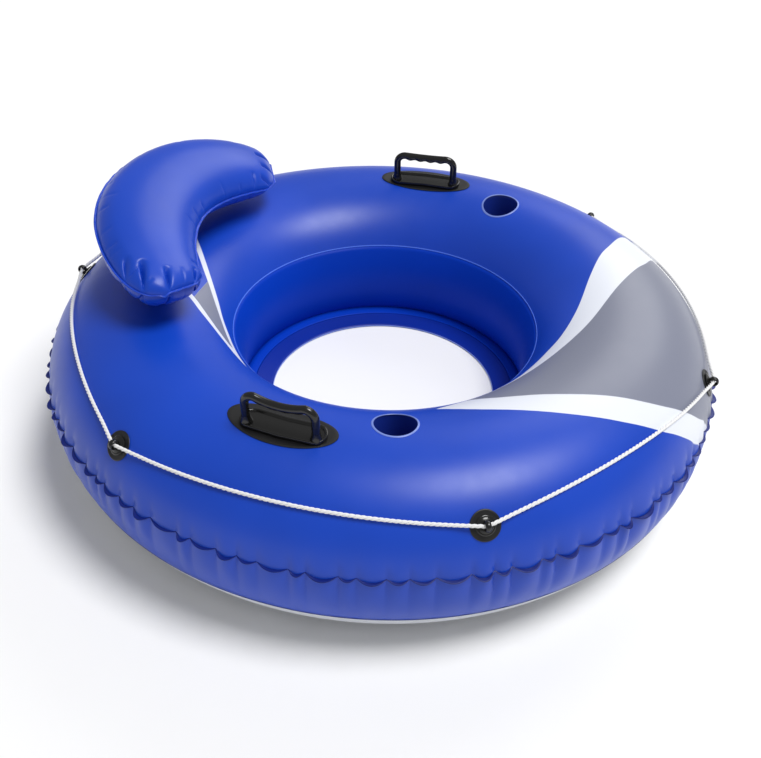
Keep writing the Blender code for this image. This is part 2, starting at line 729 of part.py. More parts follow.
def rope(group):
    """The grab rope, laced through all six eyes, and the knot that closes it."""
    mid = rope_place(KNOT_THETA)
    heading = (rope_place(KNOT_THETA + 0.5) - rope_place(KNOT_THETA - 0.5)).normalized()
    half_knot = 0.5 * KNOT_LENGTH
    start = mid + heading * (half_knot + GAP)
    end = mid - heading * (half_knot + GAP)
    points = [start, start + heading * 2 * ROPE_RADIUS]
    points += [rope_place(theta) for theta in rope_stations()]
    points += [end - heading * 2 * ROPE_RADIUS, end]
    smooth(tube("grab_rope", points, ROPE_RADIUS, "white_rope", group, 2))

    knot = turned("rope_knot", [
        (0.0, half_knot),
        (0.62 * KNOT_RADIUS, half_knot),
        (0.95 * KNOT_RADIUS, 0.6 * half_knot),
        (KNOT_RADIUS, 0.0),
        (0.95 * KNOT_RADIUS, -0.6 * half_knot),
        (0.62 * KNOT_RADIUS, -half_knot),
        (0.0, -half_knot),
    ], KNOT_STEPS, "white_rope", group)
    settle(knot)
    smooth(knot, 60.0)
    knot.rotation_mode = "QUATERNION"
    knot.rotation_quaternion = heading.to_track_quat("Z", "Y")
    knot.location = mid


# Headrest


def headrest_frame():
    """The cushion's own frame: X across the ring, Y towards the back, Z out of its weld plane."""
    turn = Matrix.Rotation(math.radians(HEADREST_TURN), 4, "Z")
    pitch = Matrix.Rotation(math.radians(HEADREST_PITCH), 4, "X")
    return Matrix.Translation((0.0, HEADREST_Y, HEADREST_Z)) @ turn @ pitch


def headrest_half_width(along):
    """Half the cushion's width at a share of its length from the middle."""
    taper = HEADREST_WIDTH + (HEADREST_TIP_WIDTH - HEADREST_WIDTH) * abs(along) ** HEADREST_TAPER_POWER
    to_tip = (1.0 - abs(along)) * HEADREST_ARC_RADIUS * math.radians(HEADREST_ARC_HALF_ANGLE)
    near = max(1.0 - to_tip / HEADREST_CORNER, 0.0)
    return 0.5 * taper * (1.0 - HEADREST_CORNER_NARROWING * near ** HEADREST_CORNER_POWER)


def headrest_outline(along, across):
    """A place in the weld plane: along from tip to tip and across front to back, both -1 to 1."""
    angle = math.radians(HEADREST_ARC_HALF_ANGLE) * along
    radius = HEADREST_ARC_RADIUS + headrest_half_width(along) * across
    return Vector((radius * math.sin(angle), radius * math.cos(angle) - HEADREST_ARC_RADIUS, 0.0))


def headrest_crown(along, across, height):
    """How far the skin stands off the weld plane."""
    fullness = (2.0 * headrest_half_width(along) / HEADREST_WIDTH) ** HEADREST_FULLNESS_POWER
    inner, outer = HEADREST_SIDE_POWERS
    side = max(1.0 - abs(across) ** inner, 0.0) ** outer
    inner, outer = HEADREST_END_POWERS
    tip = max(1.0 - abs(along) ** inner, 0.0) ** outer
    return height * fullness * side * tip


def headrest_point(along, across, side):
    """A point of the upper (side 1) or lower (side -1) skin, in world space."""
    height = HEADREST_RISE if side > 0 else HEADREST_DROP
    inside_along = max(-1.0, min(1.0, along))
    inside_across = max(-1.0, min(1.0, across))
    spot = headrest_outline(inside_along, inside_across)
    edge_step = Vector((0.0, 0.0, 0.0))
    if abs(along) > 1.0:
        angle = math.radians(HEADREST_ARC_HALF_ANGLE) * inside_along
        edge_step += Vector((math.cos(angle), -math.sin(angle), 0.0)) * math.copysign(1.0, along)
    if abs(across) > 1.0:
        angle = math.radians(HEADREST_ARC_HALF_ANGLE) * inside_along
        edge_step += Vector((math.sin(angle), math.cos(angle), 0.0)) * math.copysign(1.0, across)
    if edge_step.length > 0.0:
        spot += edge_step.normalized() * HEADREST_FLANGE
    spot.z = side * (0.5 * SHEET + 0.5 * GAP + 0.0001
                     + headrest_crown(inside_along, inside_across, height))
    return headrest_frame() @ spot


def headrest_normal(along, across, side):
    """Outward normal of a skin."""
    small = 0.01
    run = headrest_point(along + small, across, side) - headrest_point(along - small, across, side)
    rise = headrest_point(along, across + small, side) - headrest_point(along, across - small, side)
    return run.cross(rise).normalized() * side


def headrest_skin(name, side, group):
    """One welded sheet of the cushion, with its weld margin."""
    mesh = bpy.data.meshes.new(name)
    shape = bmesh.new()
    bmesh.ops.create_grid(shape, x_segments=HEADREST_ROWS + 2, y_segments=HEADREST_COLUMNS + 2, size=1.0)
    margin_along = (HEADREST_ROWS + 2) / HEADREST_ROWS
    margin_across = (HEADREST_COLUMNS + 2) / HEADREST_COLUMNS
    for vertex in shape.verts:
        along, across = vertex.co.x * margin_along, vertex.co.y * margin_across
        if abs(along) <= 1.001:
            along = math.copysign(abs(along) ** 0.85, along)
        if abs(across) <= 1.001:
            across = math.sin(0.5 * math.pi * max(-1.0, min(1.0, across)))
        vertex.co = headrest_point(along, across, side)
    shape.to_mesh(mesh)
    shape.free()
    skin = place_object(name, mesh, "blue_vinyl", group)
    add_wall(skin, SHEET, 0.0)
    return skin


def underside_height(x, y):
    """Height of the cushion's underside over a point of the ring."""
    along = math.degrees(math.asin(x / HEADREST_ARC_RADIUS)) / HEADREST_ARC_HALF_ANGLE
    low, high = -0.9, 0.9
    for _ in range(30):
        across = 0.5 * (low + high)
        point = headrest_point(along, across, -1)
        along += (x - point.x) / (HEADREST_ARC_RADIUS * math.radians(HEADREST_ARC_HALF_ANGLE))
        if point.y < y:
            low = across
        else:
            high = across
    return headrest_point(along, 0.5 * (low + high), -1).z


def headrest_web(group):
    """The upright web that carries the cushion, and the strip that welds it to the crest."""
    crest = max(skin_height(0.0, WEB_Y + offset) for offset in (-0.010, 0.0, 0.010))
    foot = crest + PATCH_LIFT + WEB_STRIP_THICKNESS + 2 * GAP
    stations = [WEB_HALF_LENGTH * (2.0 * number / WEB_STATIONS - 1.0) for number in range(WEB_STATIONS + 1)]
    top = [(x, underside_height(x, WEB_Y) - WEB_CLEARANCE) for x in reversed(stations)]
    outline = [(stations[0], foot), (stations[-1], foot)] + top
    curve = bpy.data.curves.new("headrest_web", "CURVE")
    curve.dimensions = "2D"
    curve.fill_mode = "BOTH"
    curve.extrude = 0.5 * WEB_THICKNESS
    spline = curve.splines.new("POLY")
    spline.points.add(len(outline) - 1)
    for number, (x, z) in enumerate(outline):
        spline.points[number].co = (x, z - foot, 0.0, 1.0)
    spline.use_cyclic_u = True
    web = place_object("headrest_web", curve_mesh("headrest_web", curve, group), "blue_vinyl", group)
    web.location = (0.0, WEB_Y, foot)
    web.rotation_euler = (math.radians(90.0), 0.0, 0.0)

    strip = turned("headrest_strip", disc_profile(0.5 * WEB_STRIP_WIDTH, WEB_STRIP_THICKNESS, 1),
                   WEB_STRIP_STEPS, "blue_vinyl", group)
    settle(strip)
    for vertex in strip.data.vertices:
        if abs(vertex.co.x) > 0.0001:
            vertex.co.x += math.copysign(WEB_HALF_LENGTH, vertex.co.x)
    shift_mesh(strip, Matrix.Translation((0.0, 0.0, PATCH_LIFT)))
    strip.location = (0.0, WEB_Y, crest)
    smooth(strip)


# Air valves


def valve_cap_hinge(scale):
    """The cap's hinge line in a valve's frame."""
    return Vector((VALVE_HINGE_X, 0.0, VALVE_HINGE_Z)) * scale


def lug(name, low, high, look, group):
    """A small block between two corners."""
    mesh = bpy.data.meshes.new(name)
    shape = bmesh.new()
    bmesh.ops.create_cube(shape, size=1.0)
    for vertex in shape.verts:
        vertex.co = Vector([low[axis] if vertex.co[axis] < 0.0 else high[axis] for axis in range(3)])
    shape.to_mesh(mesh)
    shape.free()
    return place_object(name, mesh, look, group)


def valve_base(name, depth, scale, look, group, frame):
    """The weld flange and the sleeve that the stem sits in."""
    base = turned(name, [
        (VALVE_SLEEVE_BORE * scale, VALVE_FLANGE_THICKNESS * scale),
        ((VALVE_FLANGE_RADIUS - VALVE_FLANGE_THICKNESS) * scale, VALVE_FLANGE_THICKNESS * scale),
        (VALVE_FLANGE_RADIUS * scale, 0.3 * VALVE_FLANGE_THICKNESS * scale),
        (VALVE_FLANGE_RADIUS * scale, 0.0),
        (VALVE_SLEEVE_RADIUS * scale, 0.0),
        (VALVE_SLEEVE_RADIUS * scale, -depth),
        (VALVE_SLEEVE_BORE * scale, -depth),
    ], VALVE_STEPS, look, group, closed=True)
    settle(base)
    smooth(base)
    base.matrix_world = frame
    return base


def valve_stem(name, depth, scale, look, group, frame):
    """The stem with its bore, its rim and the lug that the cap is hinged to."""
    rim_low, rim_high = VALVE_RIM[0] * scale, VALVE_RIM[1] * scale
    stem = turned(name, [
        (VALVE_BORE * scale, rim_high),
        (VALVE_STEM_RIM * scale, rim_high),
        (VALVE_STEM_RIM * scale, rim_low),
        (VALVE_STEM_RADIUS * scale, rim_low),
        (VALVE_STEM_RADIUS * scale, -depth),
        (VALVE_BORE * scale, -depth),
    ], VALVE_STEPS, look, group, closed=True)
    settle(stem)
    hinge = valve_cap_hinge(scale)
    half_width = VALVE_TAB_HALF_WIDTH * scale
    inside = VALVE_STEM_RADIUS * scale
    ear = lug("ear", (inside, -half_width, rim_low + VALVE_LUG_INSET),
              (hinge.x - VALVE_HINGE_GAP * scale, half_width, rim_high - VALVE_LUG_INSET), look, group)
    merge_pieces(stem, [ear])
    smooth(stem)
    stem.matrix_world = frame
    return stem


def valve_cap(name, scale, look, group, frame):
    """The cap with its plug, hinged at the rim of the stem; its origin is on the hinge line."""
    low, high = VALVE_CAP[0] * scale, VALVE_CAP[1] * scale
    radius, eased = VALVE_CAP_RADIUS * scale, VALVE_CAP_EASING * scale
    cap = turned(name, [
        (0.0, high),
        (radius - eased, high),
        (radius, high - eased),
        (radius, low),
        (VALVE_PLUG_TOP * scale, low),
        (VALVE_PLUG_TIP * scale, low - VALVE_PLUG_DEPTH * scale),
        (0.0, low - VALVE_PLUG_DEPTH * scale),
    ], VALVE_STEPS, look, group)
    settle(cap)
    hinge = valve_cap_hinge(scale)
    half_width = VALVE_TAB_HALF_WIDTH * scale
    inside, top = radius - eased, high - VALVE_LUG_DROP * scale
    tab = lug("tab", (inside, -half_width, low + VALVE_LUG_INSET), (hinge.x, half_width, top), look, group)
    pull = lug("pull", (-VALVE_PULL_REACH * scale, -half_width, low + VALVE_LUG_INSET),
               (-inside, half_width, top), look, group)
    merge_pieces(cap, [tab, pull])
    smooth(cap)
    shift_mesh(cap, Matrix.Translation(-hinge))
    cap.matrix_world = frame @ Matrix.Translation(hinge)
    return cap


def valve_flap(name, depth, scale, look, group, frame):
    """The one-way flap under the bore; its origin is on its hinge line."""
    radius = VALVE_FLAP_RADIUS * scale
    flap = round_bar(name, radius, VALVE_FLAP_THICKNESS, Matrix.Translation((-radius, 0.0, 0.0)),
                     look, group, VALVE_STEPS)
    smooth(flap)
    hinge = Vector((radius, 0.0, -depth - GAP - 0.5 * VALVE_FLAP_THICKNESS))
    flap.matrix_world = frame @ Matrix.Translation(hinge)
    return flap


def main_valve_frame():
    """Where the ring's valve sits."""
    return ring_frame(MAIN_VALVE_THETA, MAIN_VALVE_SECTION, GAP)


def headrest_valve_frame():
    """Where the headrest's valve sits: on the lower skin, towards the back."""
    along, across = HEADREST_VALVE_ALONG, HEADREST_VALVE_ACROSS
    place = headrest_point(along, across, -1)
    normal = headrest_normal(along, across, -1)
    side = Vector((1.0, 0.0, 0.0))
    side = (side - normal * side.dot(normal)).normalized()
    frame = Matrix((side, normal.cross(side), normal)).transposed().to_4x4()
    frame.translation = place + normal * (0.5 * SHEET + GAP)
    return frame


def valves(group, cutters, lower_skin):
    """The ring's valve on the side band, and the headrest's valve."""
    frame = main_valve_frame()
    valve_base("main_valve_base", VALVE_SLEEVE_DEPTH, 1.0, "blue_vinyl", group, frame)
    valve_stem("main_valve_stem", VALVE_STEM_DEPTH, 1.0, "clear_plastic", group, frame)
    valve_cap("main_valve_cap", 1.0, "clear_plastic", group, frame)
    valve_flap("main_valve_flap", VALVE_STEM_DEPTH, 1.0, "clear_plastic", group, frame)

    frame = headrest_valve_frame()
    scale = HEADREST_VALVE_SCALE
    depth = scale * VALVE_STEM_DEPTH
    valve_base("headrest_valve_base", scale * VALVE_SLEEVE_DEPTH, scale, "blue_vinyl", group, frame)
    valve_stem("headrest_valve_stem", depth, scale, "clear_plastic", group, frame)
    valve_cap("headrest_valve_cap", scale, "clear_plastic", group, frame)
    valve_flap("headrest_valve_flap", depth, scale, "clear_plastic", group, frame)
    bar = round_bar("headrest_valve_cutter", scale * VALVE_SLEEVE_RADIUS + GAP, CUTTER_DEPTH, frame,
                    "grey_vinyl", cutters)
    cut(lower_skin, bar)


def build():
    """Make the whole tube."""
    clear_scene()
    parts = new_collection("river_tube")
    cutters = new_collection("cutters")
    ring_panels(parts, cutters)
    weld_flange(parts)
    floor(parts)
    cup_holders(parts)
    handles(parts)
    rope_eyes(parts)
    rope(parts)
    headrest_skin("headrest_upper_skin", 1, parts)
    lower_skin = headrest_skin("headrest_lower_skin", -1, parts)
    headrest_web(parts)
    valves(parts, cutters, lower_skin)
    to_origin = 0.5 * HEAD_SWELL_OUT * outness(FLANGE_OUTER_RADIUS) ** 2
    for piece in list(parts.objects) + list(cutters.objects):
        piece.location.y -= to_origin


build()
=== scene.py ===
"""The finished look of a river tube: a ring with a floor, a headrest, cup holders, grips, a rope and valves.

Metres, +Z up, the foot end towards -Y. theta goes round the ring from the foot end towards +X, and section
goes round the tube's own section, from 0 at its outermost line through 90 degrees at the crest to 180 inside.
"""

import logging
import math
import random
from bisect import bisect_right
from dataclasses import dataclass, field
from enum import Enum
from functools import cached_property
from typing import Callable, Sequence

import bpy
import numpy as np
from mathutils import Matrix, Vector


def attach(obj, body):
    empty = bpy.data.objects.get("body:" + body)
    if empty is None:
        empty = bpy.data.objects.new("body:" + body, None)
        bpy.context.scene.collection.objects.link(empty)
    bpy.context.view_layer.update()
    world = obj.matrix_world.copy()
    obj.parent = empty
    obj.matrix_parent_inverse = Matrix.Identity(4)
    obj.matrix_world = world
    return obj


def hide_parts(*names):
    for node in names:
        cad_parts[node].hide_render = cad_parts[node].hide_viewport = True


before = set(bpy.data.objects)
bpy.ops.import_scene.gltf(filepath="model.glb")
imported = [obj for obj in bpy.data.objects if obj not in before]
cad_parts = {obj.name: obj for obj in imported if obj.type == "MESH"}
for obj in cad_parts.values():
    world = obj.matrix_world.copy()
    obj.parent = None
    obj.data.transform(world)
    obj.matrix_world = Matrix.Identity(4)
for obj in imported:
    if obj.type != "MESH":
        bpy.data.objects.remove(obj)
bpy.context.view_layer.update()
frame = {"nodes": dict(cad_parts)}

LOG = logging.getLogger("river_tube")
SHEET = 0.0005
SEAM_STEP = 0.00001
ON_AXIS = 0.0001
NEARLY_SAME = 1e-9
SHARP, SHARPER, SHARPEST = 40.0, 50.0, 60.0
FINE_TURN, MIDDLE_TURN, COARSE_TURN = 96, 64, 48

Place = Callable[[float, float], Vector]
Points = Sequence[tuple[float, float]]
Corner = tuple[float, float, float]
Colour = tuple[float, float, float, float]
Piece = bpy.types.Object
Socket = bpy.types.NodeSocket


class Body(str, Enum):
    """The bodies that pieces ride on."""

    ROOT = "root"
    HEADREST = "headrest"


class Side(Enum):
    """The two sides of the tube, as the sign of X."""

    LEFT = -1
    RIGHT = 1

    @property
    def tag(self) -> str:
        """The side's name in piece names."""
        return self.name.lower()


# Work on pieces


def clear_selection() -> None:
    """Leave nothing selected."""
    bpy.ops.object.select_all(action="DESELECT")


def take(piece: Piece) -> None:
    """Select one piece alone and make it active.

    Args:
        piece: The piece to take.
    """
    clear_selection()
    piece.select_set(True)
    bpy.context.view_layer.objects.active = piece


def edit(piece: Piece, *steps: Callable[[], object]) -> Piece:
    """Run edit-mode operators on all of a piece.

    Args:
        piece: The piece to edit.
        steps: Calls that run in edit mode, in order, with everything selected at first.

    Returns:
        The same piece.
    """
    take(piece)
    bpy.ops.object.mode_set(mode="EDIT")
    bpy.ops.mesh.select_all(action="SELECT")
    for step in steps:
        step()
    bpy.ops.object.mode_set(mode="OBJECT")
    return piece


def weld(piece: Piece) -> Piece:
    """Merge the vertices that lie in one place."""
    return edit(piece, lambda: bpy.ops.mesh.remove_doubles(threshold=SEAM_STEP))


def face_out(piece: Piece) -> Piece:
    """Turn every face of a closed piece outwards."""
    return edit(piece, lambda: bpy.ops.mesh.normals_make_consistent(inside=False))


def smooth(piece: Piece, angle: float = SHARP) -> Piece:
    """Shade a piece smooth.

    Args:
        piece: The piece to shade.
        angle: Edges past this many degrees stay sharp.

    Returns:
        The same piece.
    """
    take(piece)
    bpy.ops.object.shade_smooth_by_angle(angle=math.radians(angle))
    return piece


def modify(piece: Piece, kind: str, **settings: object) -> Piece:
    """Add one modifier to a piece and apply it.

    Args:
        piece: The piece to change.
        kind: The modifier's type.
        settings: The modifier's own settings.

    Returns:
        The same piece.
    """
    take(piece)
    modifier = piece.modifiers.new(kind.lower(), kind)
    for name, value in settings.items():
        setattr(modifier, name, value)
    bpy.ops.object.modifier_apply(modifier=modifier.name)
    return piece


def thicken(piece: Piece, thickness: float = SHEET, offset: float = -1.0) -> Piece:
    """Give an open sheet its thickness."""
    return modify(piece, "SOLIDIFY", thickness=thickness, offset=offset, use_even_offset=False)


def settle(piece: Piece, matrix: Matrix | None = None) -> Piece:
    """Move a piece's place into its mesh, so that its object sits at the origin.

    Args:
        piece: The piece to settle.
        matrix: A further move of the mesh, after its own place.

    Returns:
        The same piece.
    """
    bpy.context.view_layer.update()
    piece.data.transform((matrix or Matrix.Identity(4)) @ piece.matrix_world)
    piece.matrix_world = Matrix.Identity(4)
    return piece


def shifted(piece: Piece, x: float = 0.0, y: float = 0.0, z: float = 0.0) -> Piece:
    """Move a piece, its object then at the origin."""
    return settle(piece, Matrix.Translation((x, y, z)))


def stretched(disc: Piece, distance: float) -> Piece:
    """Make a disc oval: its two halves are moved apart along X.

    Args:
        disc: A turned piece round the origin.
        distance: How far each half moves.

    Returns:
        The same piece.
    """
    for vertex in disc.data.vertices:
        if abs(vertex.co.x) > ON_AXIS:
            vertex.co.x += math.copysign(distance, vertex.co.x)
    return disc


def named(name: str) -> Piece:
    """Name the active piece and its mesh.

    Args:
        name: The new name.

    Returns:
        The active piece.
    """
    piece = bpy.context.view_layer.objects.active
    piece.name = name
    piece.data.name = name
    return piece


def bent_sheet(name: str, columns: int, rows: int, place: Place) -> Piece:
    """A flat grid, every vertex of which is carried to its place.

    Args:
        name: The piece's name.
        columns: Faces along the grid's X.
        rows: Faces along the grid's Y.
        place: Gives the place of a vertex from its X and Y, both from -1 to 1.

    Returns:
        The sheet, with the edges that meet welded.
    """
    clear_selection()
    bpy.ops.mesh.primitive_grid_add(x_subdivisions=columns, y_subdivisions=rows, size=2.0)
    piece = named(name)
    for vertex in piece.data.vertices:
        vertex.co = place(vertex.co.x, vertex.co.y)
    return smooth(weld(piece))


def grid_line(share: float, count: int) -> int:
    """Number of the grid line at a share from -1 to 1, with count lines in all."""
    return int(round(0.5 * (share + 1.0) * (count - 1)))


def turned(name: str, profile: Points, steps: int, closed: bool = False) -> Piece:
    """A turned piece: a circle pulled along a profile by extruding and resizing it.

    Args:
        name: The piece's name.
        profile: Radius and height of each step, radii above zero, up the inside and down the outside.
        steps: Faces round the piece.
        closed: Whether the profile is a loop. If not, its ends are capped.

    Returns:
        The piece, closed and facing out.
    """
    clear_selection()
    (radius, height) = profile[0]
    fill = "NOTHING" if closed else "NGON"
    bpy.ops.mesh.primitive_circle_add(vertices=steps, radius=radius, location=(0, 0, height), fill_type=fill)
    piece = named(name)
    bpy.ops.object.transform_apply(location=True, rotation=True, scale=True)
    bpy.ops.object.mode_set(mode="EDIT")
    bpy.ops.mesh.select_all(action="SELECT")
    stations = list(profile) + ([profile[0]] if closed else [])
    for (before, low), (after, high) in zip(stations, stations[1:]):
        bpy.ops.mesh.extrude_region_move(TRANSFORM_OT_translate={"value": (0.0, 0.0, high - low)})
        grown = after / before
        bpy.ops.transform.resize(value=(grown, grown, 1.0), center_override=(0.0, 0.0, high))
    bpy.ops.object.mode_set(mode="OBJECT")
    return smooth(face_out(weld(piece)))


def ring_of_rod(name: str, size: tuple[float, float], steps: tuple[int, int],
                tilt: tuple[float, float], along: float = 0.0) -> Piece:
    """A rod bent to a ring.

    Args:
        name: The piece's name.
        size: Radius of the ring and of the rod.
        steps: Faces round the ring and round the rod.
        tilt: Turns about X and then Y, in degrees.
        along: Height of the ring's middle.

    Returns:
        The ring, its object at the origin.
    """
    clear_selection()
    bpy.ops.mesh.primitive_torus_add(
        major_radius=size[0], minor_radius=size[1], major_segments=steps[0], minor_segments=steps[1],
        location=(0.0, 0.0, along), rotation=(math.radians(tilt[0]), math.radians(tilt[1]), 0.0))
    return settle(named(name))


def copied(piece: Piece, name: str, matrix: Matrix) -> Piece:
    """A copy of a piece with its own mesh.

    Args:
        piece: The piece to copy.
        name: The copy's name.
        matrix: Where the copy goes.

    Returns:
        The copy, its object at the origin.
    """
    twin = piece.copy()
    twin.data = piece.data.copy()
    twin.name = twin.data.name = name
    bpy.context.scene.collection.objects.link(twin)
    return settle(twin, matrix)


def joined(name: str, pieces: Sequence[Piece]) -> Piece:
    """Several pieces as one.

    Args:
        name: The whole's name.
        pieces: The pieces, which the whole takes up.

    Returns:
        The whole.
    """
    clear_selection()
    for piece in pieces:
        piece.select_set(True)
    bpy.context.view_layer.objects.active = pieces[0]
    bpy.ops.object.join()
    return named(name)


def cord_mesh(name: str, points: Sequence[Vector], radius: float) -> Piece:
    """A rod of round section along points, with closed ends.

    Args:
        name: The piece's name.
        points: The points that it follows.
        radius: Radius of its section.

    Returns:
        The rod.
    """
    curve = bpy.data.curves.new(name, "CURVE")
    curve.dimensions = "3D"
    curve.bevel_depth = radius
    curve.bevel_resolution = 2
    curve.use_fill_caps = True
    spline = curve.splines.new("POLY")
    spline.points.add(len(points) - 1)
    for number, point in enumerate(points):
        spline.points[number].co = (*point, 1.0)
    piece = bpy.data.objects.new(name, curve)
    bpy.context.scene.collection.objects.link(piece)
    take(piece)
    bpy.ops.object.convert(target="MESH")
    return smooth(weld(named(name)), SHARPEST)


# Finishes


def paint(red: int, green: int, blue: int) -> Colour:
    """A colour given as it shows on a screen, brought to linear light by the sRGB curve.

    Args:
        red: Its red, from 0 to 255.
        green: Its green.
        blue: Its blue.

    Returns:
        The colour, with a full alpha.
    """
    shares = [value / 255.0 for value in (red, green, blue)]
    linear = [s / 12.92 if s <= 0.04045 else ((s + 0.055) / 1.055) ** 2.4 for s in shares]
    return (*linear, 1.0)


class NodeBench:
    """Builds the nodes of one material, which read Object coordinates."""

    def __init__(self, name: str) -> None:
        """Start the material with its shader and coordinates.

        Args:
            name: The material's name.
        """
        self.material = bpy.data.materials.new(name)
        self.material.use_nodes = True
        self.tree = self.material.node_tree
        self.shader = self.tree.nodes["Principled BSDF"]
        self.coordinates = self.node("ShaderNodeTexCoord").outputs["Object"]

    def node(self, kind: str, inputs: dict | None = None, **settings: object) -> bpy.types.Node:
        """Add a node.

        Args:
            kind: The node's type.
            inputs: Values or sockets for its inputs, by name or number.
            settings: The node's own settings.

        Returns:
            The node.
        """
        made = self.tree.nodes.new(kind)
        for name, value in settings.items():
            setattr(made, name, value)
        for name, value in (inputs or {}).items():
            self.feed(made.inputs[name], value)
        return made

    def feed(self, socket: Socket, value: object) -> None:
        """Give a socket a value, or link another socket to it.

        Args:
            socket: The input to feed.
            value: A plain value or an output socket.
        """
        if isinstance(value, Socket):
            self.tree.links.new(value, socket)
        else:
            socket.default_value = value

    def noise(self, scale: float, detail: float = 2.0) -> Socket:
        """Soft noise from 0 to 1."""
        inputs = {"Vector": self.coordinates, "Scale": scale, "Detail": detail}
        return self.node("ShaderNodeTexNoise", inputs).outputs["Fac"]

    def spread(self, value: Socket, source: Sequence[float], target: Sequence[float]) -> Socket:
        """Carry a value from one range to another, held at the ends.

        Args:
            value: The value.
            source: The range that it comes from.
            target: The range that it goes to.

        Returns:
            The value in its new range.
        """
        inputs = {"Value": value, "From Min": source[0], "From Max": source[1],
                  "To Min": target[0], "To Max": target[1]}
        return self.node("ShaderNodeMapRange", inputs).outputs["Result"]

    def figure(self, operation: str, first: Socket, second: object) -> Socket:
        """Two values put together by a maths operation."""
        return self.node("ShaderNodeMath", {0: first, 1: second}, operation=operation).outputs[0]

    def least(self, values: Sequence[Socket]) -> Socket:
        """The smallest of several values.

        Args:
            values: The values.

        Returns:
            The smallest.
        """
        result = values[0]
        for value in values[1:]:
            result = self.figure("MINIMUM", result, value)
        return result

    def mixed(self, share: object, first: object, second: object) -> Socket:
        """Two colours mixed by a share from 0, the first, to 1, the second."""
        return self.node("ShaderNodeMix", {0: share, 6: first, 7: second}, data_type="RGBA").outputs[2]

    def bump(self, height: Socket, depth: float, under: Socket | None = None) -> Socket:
        """Relief from a height.

        Args:
            height: The height, from 0 to 1.
            depth: What a height of 1 stands for.
            under: Another relief that it lies on, if any.

        Returns:
            The relief as a normal.
        """
        inputs = {"Height": height, "Strength": 1.0, "Distance": depth}
        if under is not None:
            inputs["Normal"] = under
        return self.node("ShaderNodeBump", inputs).outputs["Normal"]


@dataclass(frozen=True)
class Finish:
    """A moulded or sheet surface with a fine grain over a slow unevenness of tone and height."""

    name: str
    slot: str
    colour: Colour
    roughness: float
    tone: float = 0.06
    tone_scale: float = 4.0
    tone_range: tuple[float, float] = (0.35, 0.65)
    gloss_scale: float = 30.0
    gloss_range: tuple[float, float] = (0.3, 0.7)
    gloss_down: float = 0.015
    gloss_up: float = 0.020
    grain_scale: float = 900.0
    grain_depth: float = 0.00004
    wave_scale: float = 9.0
    wave_depth: float = 0.0003
    see_through: float = 0.0
    shine: float = 0.5

    def base(self, bench: NodeBench) -> Socket:
        """The colour, a little lighter and darker from place to place.

        Args:
            bench: Where the nodes are made.

        Returns:
            The colour.
        """
        darker = tuple(value * (1.0 - self.tone) for value in self.colour[:3]) + (1.0,)
        lighter = tuple(min(value * (1.0 + self.tone), 1.0) for value in self.colour[:3]) + (1.0,)
        share = bench.spread(bench.noise(self.tone_scale), self.tone_range, (0.0, 1.0))
        return bench.mixed(share, darker, lighter)

    @property
    def material(self) -> bpy.types.Material:
        """The finish's material, made on its first use.

        Returns:
            The material.
        """
        if self.name in bpy.data.materials:
            return bpy.data.materials[self.name]
        bench = NodeBench(self.name)
        shader = bench.shader.inputs
        bench.feed(shader["Base Color"], self.base(bench))
        grain = bench.noise(self.grain_scale, 3.0)
        gloss = (self.roughness - self.gloss_down, self.roughness + self.gloss_up)
        worn = bench.noise(self.gloss_scale, 4.0)
        bench.feed(shader["Roughness"], bench.spread(worn, self.gloss_range, gloss))
        waves = bench.bump(bench.noise(self.wave_scale), self.wave_depth)
        bench.feed(shader["Normal"], bench.bump(grain, self.grain_depth, waves))
        shader["Specular IOR Level"].default_value = self.shine
        shader["Transmission Weight"].default_value = self.see_through
        return bench.material


@dataclass(frozen=True)
class PrintedFinish(Finish):
    """Vinyl with a print of two inks, whose edges the sheet carries as distances."""

    pale_ink: Colour = paint(232, 236, 246)
    dark_ink: Colour = paint(127, 131, 149)
    edge: float = 0.0004

    def base(self, bench: NodeBench) -> Socket:
        """The vinyl's colour with the print's pale and dark ink over it.

        Args:
            bench: Where the nodes are made.

        Returns:
            The colour.
        """
        ground = super().base(bench)
        pale, dark = [], []
        for artwork in (FOOT_PRINT, HEAD_PRINT):
            outer, inner, notch = artwork.split([
                bench.node("ShaderNodeAttribute", attribute_name=name).outputs["Fac"]
                for name in artwork.attributes])
            dark.append(bench.least(inner + outer + notch))
            for line in notch:
                beside = bench.figure("MULTIPLY", bench.least(inner), -1.0)
                outer = outer + [bench.figure("MAXIMUM", beside, line)]
            pale.append(bench.least(outer))
        edge = (-self.edge, self.edge)
        inks = [bench.spread(bench.figure("MAXIMUM", *pair), edge, (0.0, 1.0)) for pair in (pale, dark)]
        return bench.mixed(inks[1], bench.mixed(inks[0], ground, self.pale_ink), self.dark_ink)


@dataclass(frozen=True)
class RopeFinish(Finish):
    """Twisted synthetic rope: fine fibres, greyer where they are rubbed."""

    rubbed: Colour = paint(196, 198, 205)
    rub_scale: float = 260.0
    rub_range: tuple[float, float] = (0.45, 0.75)
    most_rubbed: float = 0.5

    def base(self, bench: NodeBench) -> Socket:
        """White with faint grey rubbing."""
        share = bench.spread(bench.noise(self.rub_scale, 4.0), self.rub_range, (0.0, self.most_rubbed))
        return bench.mixed(share, self.colour, self.rubbed)


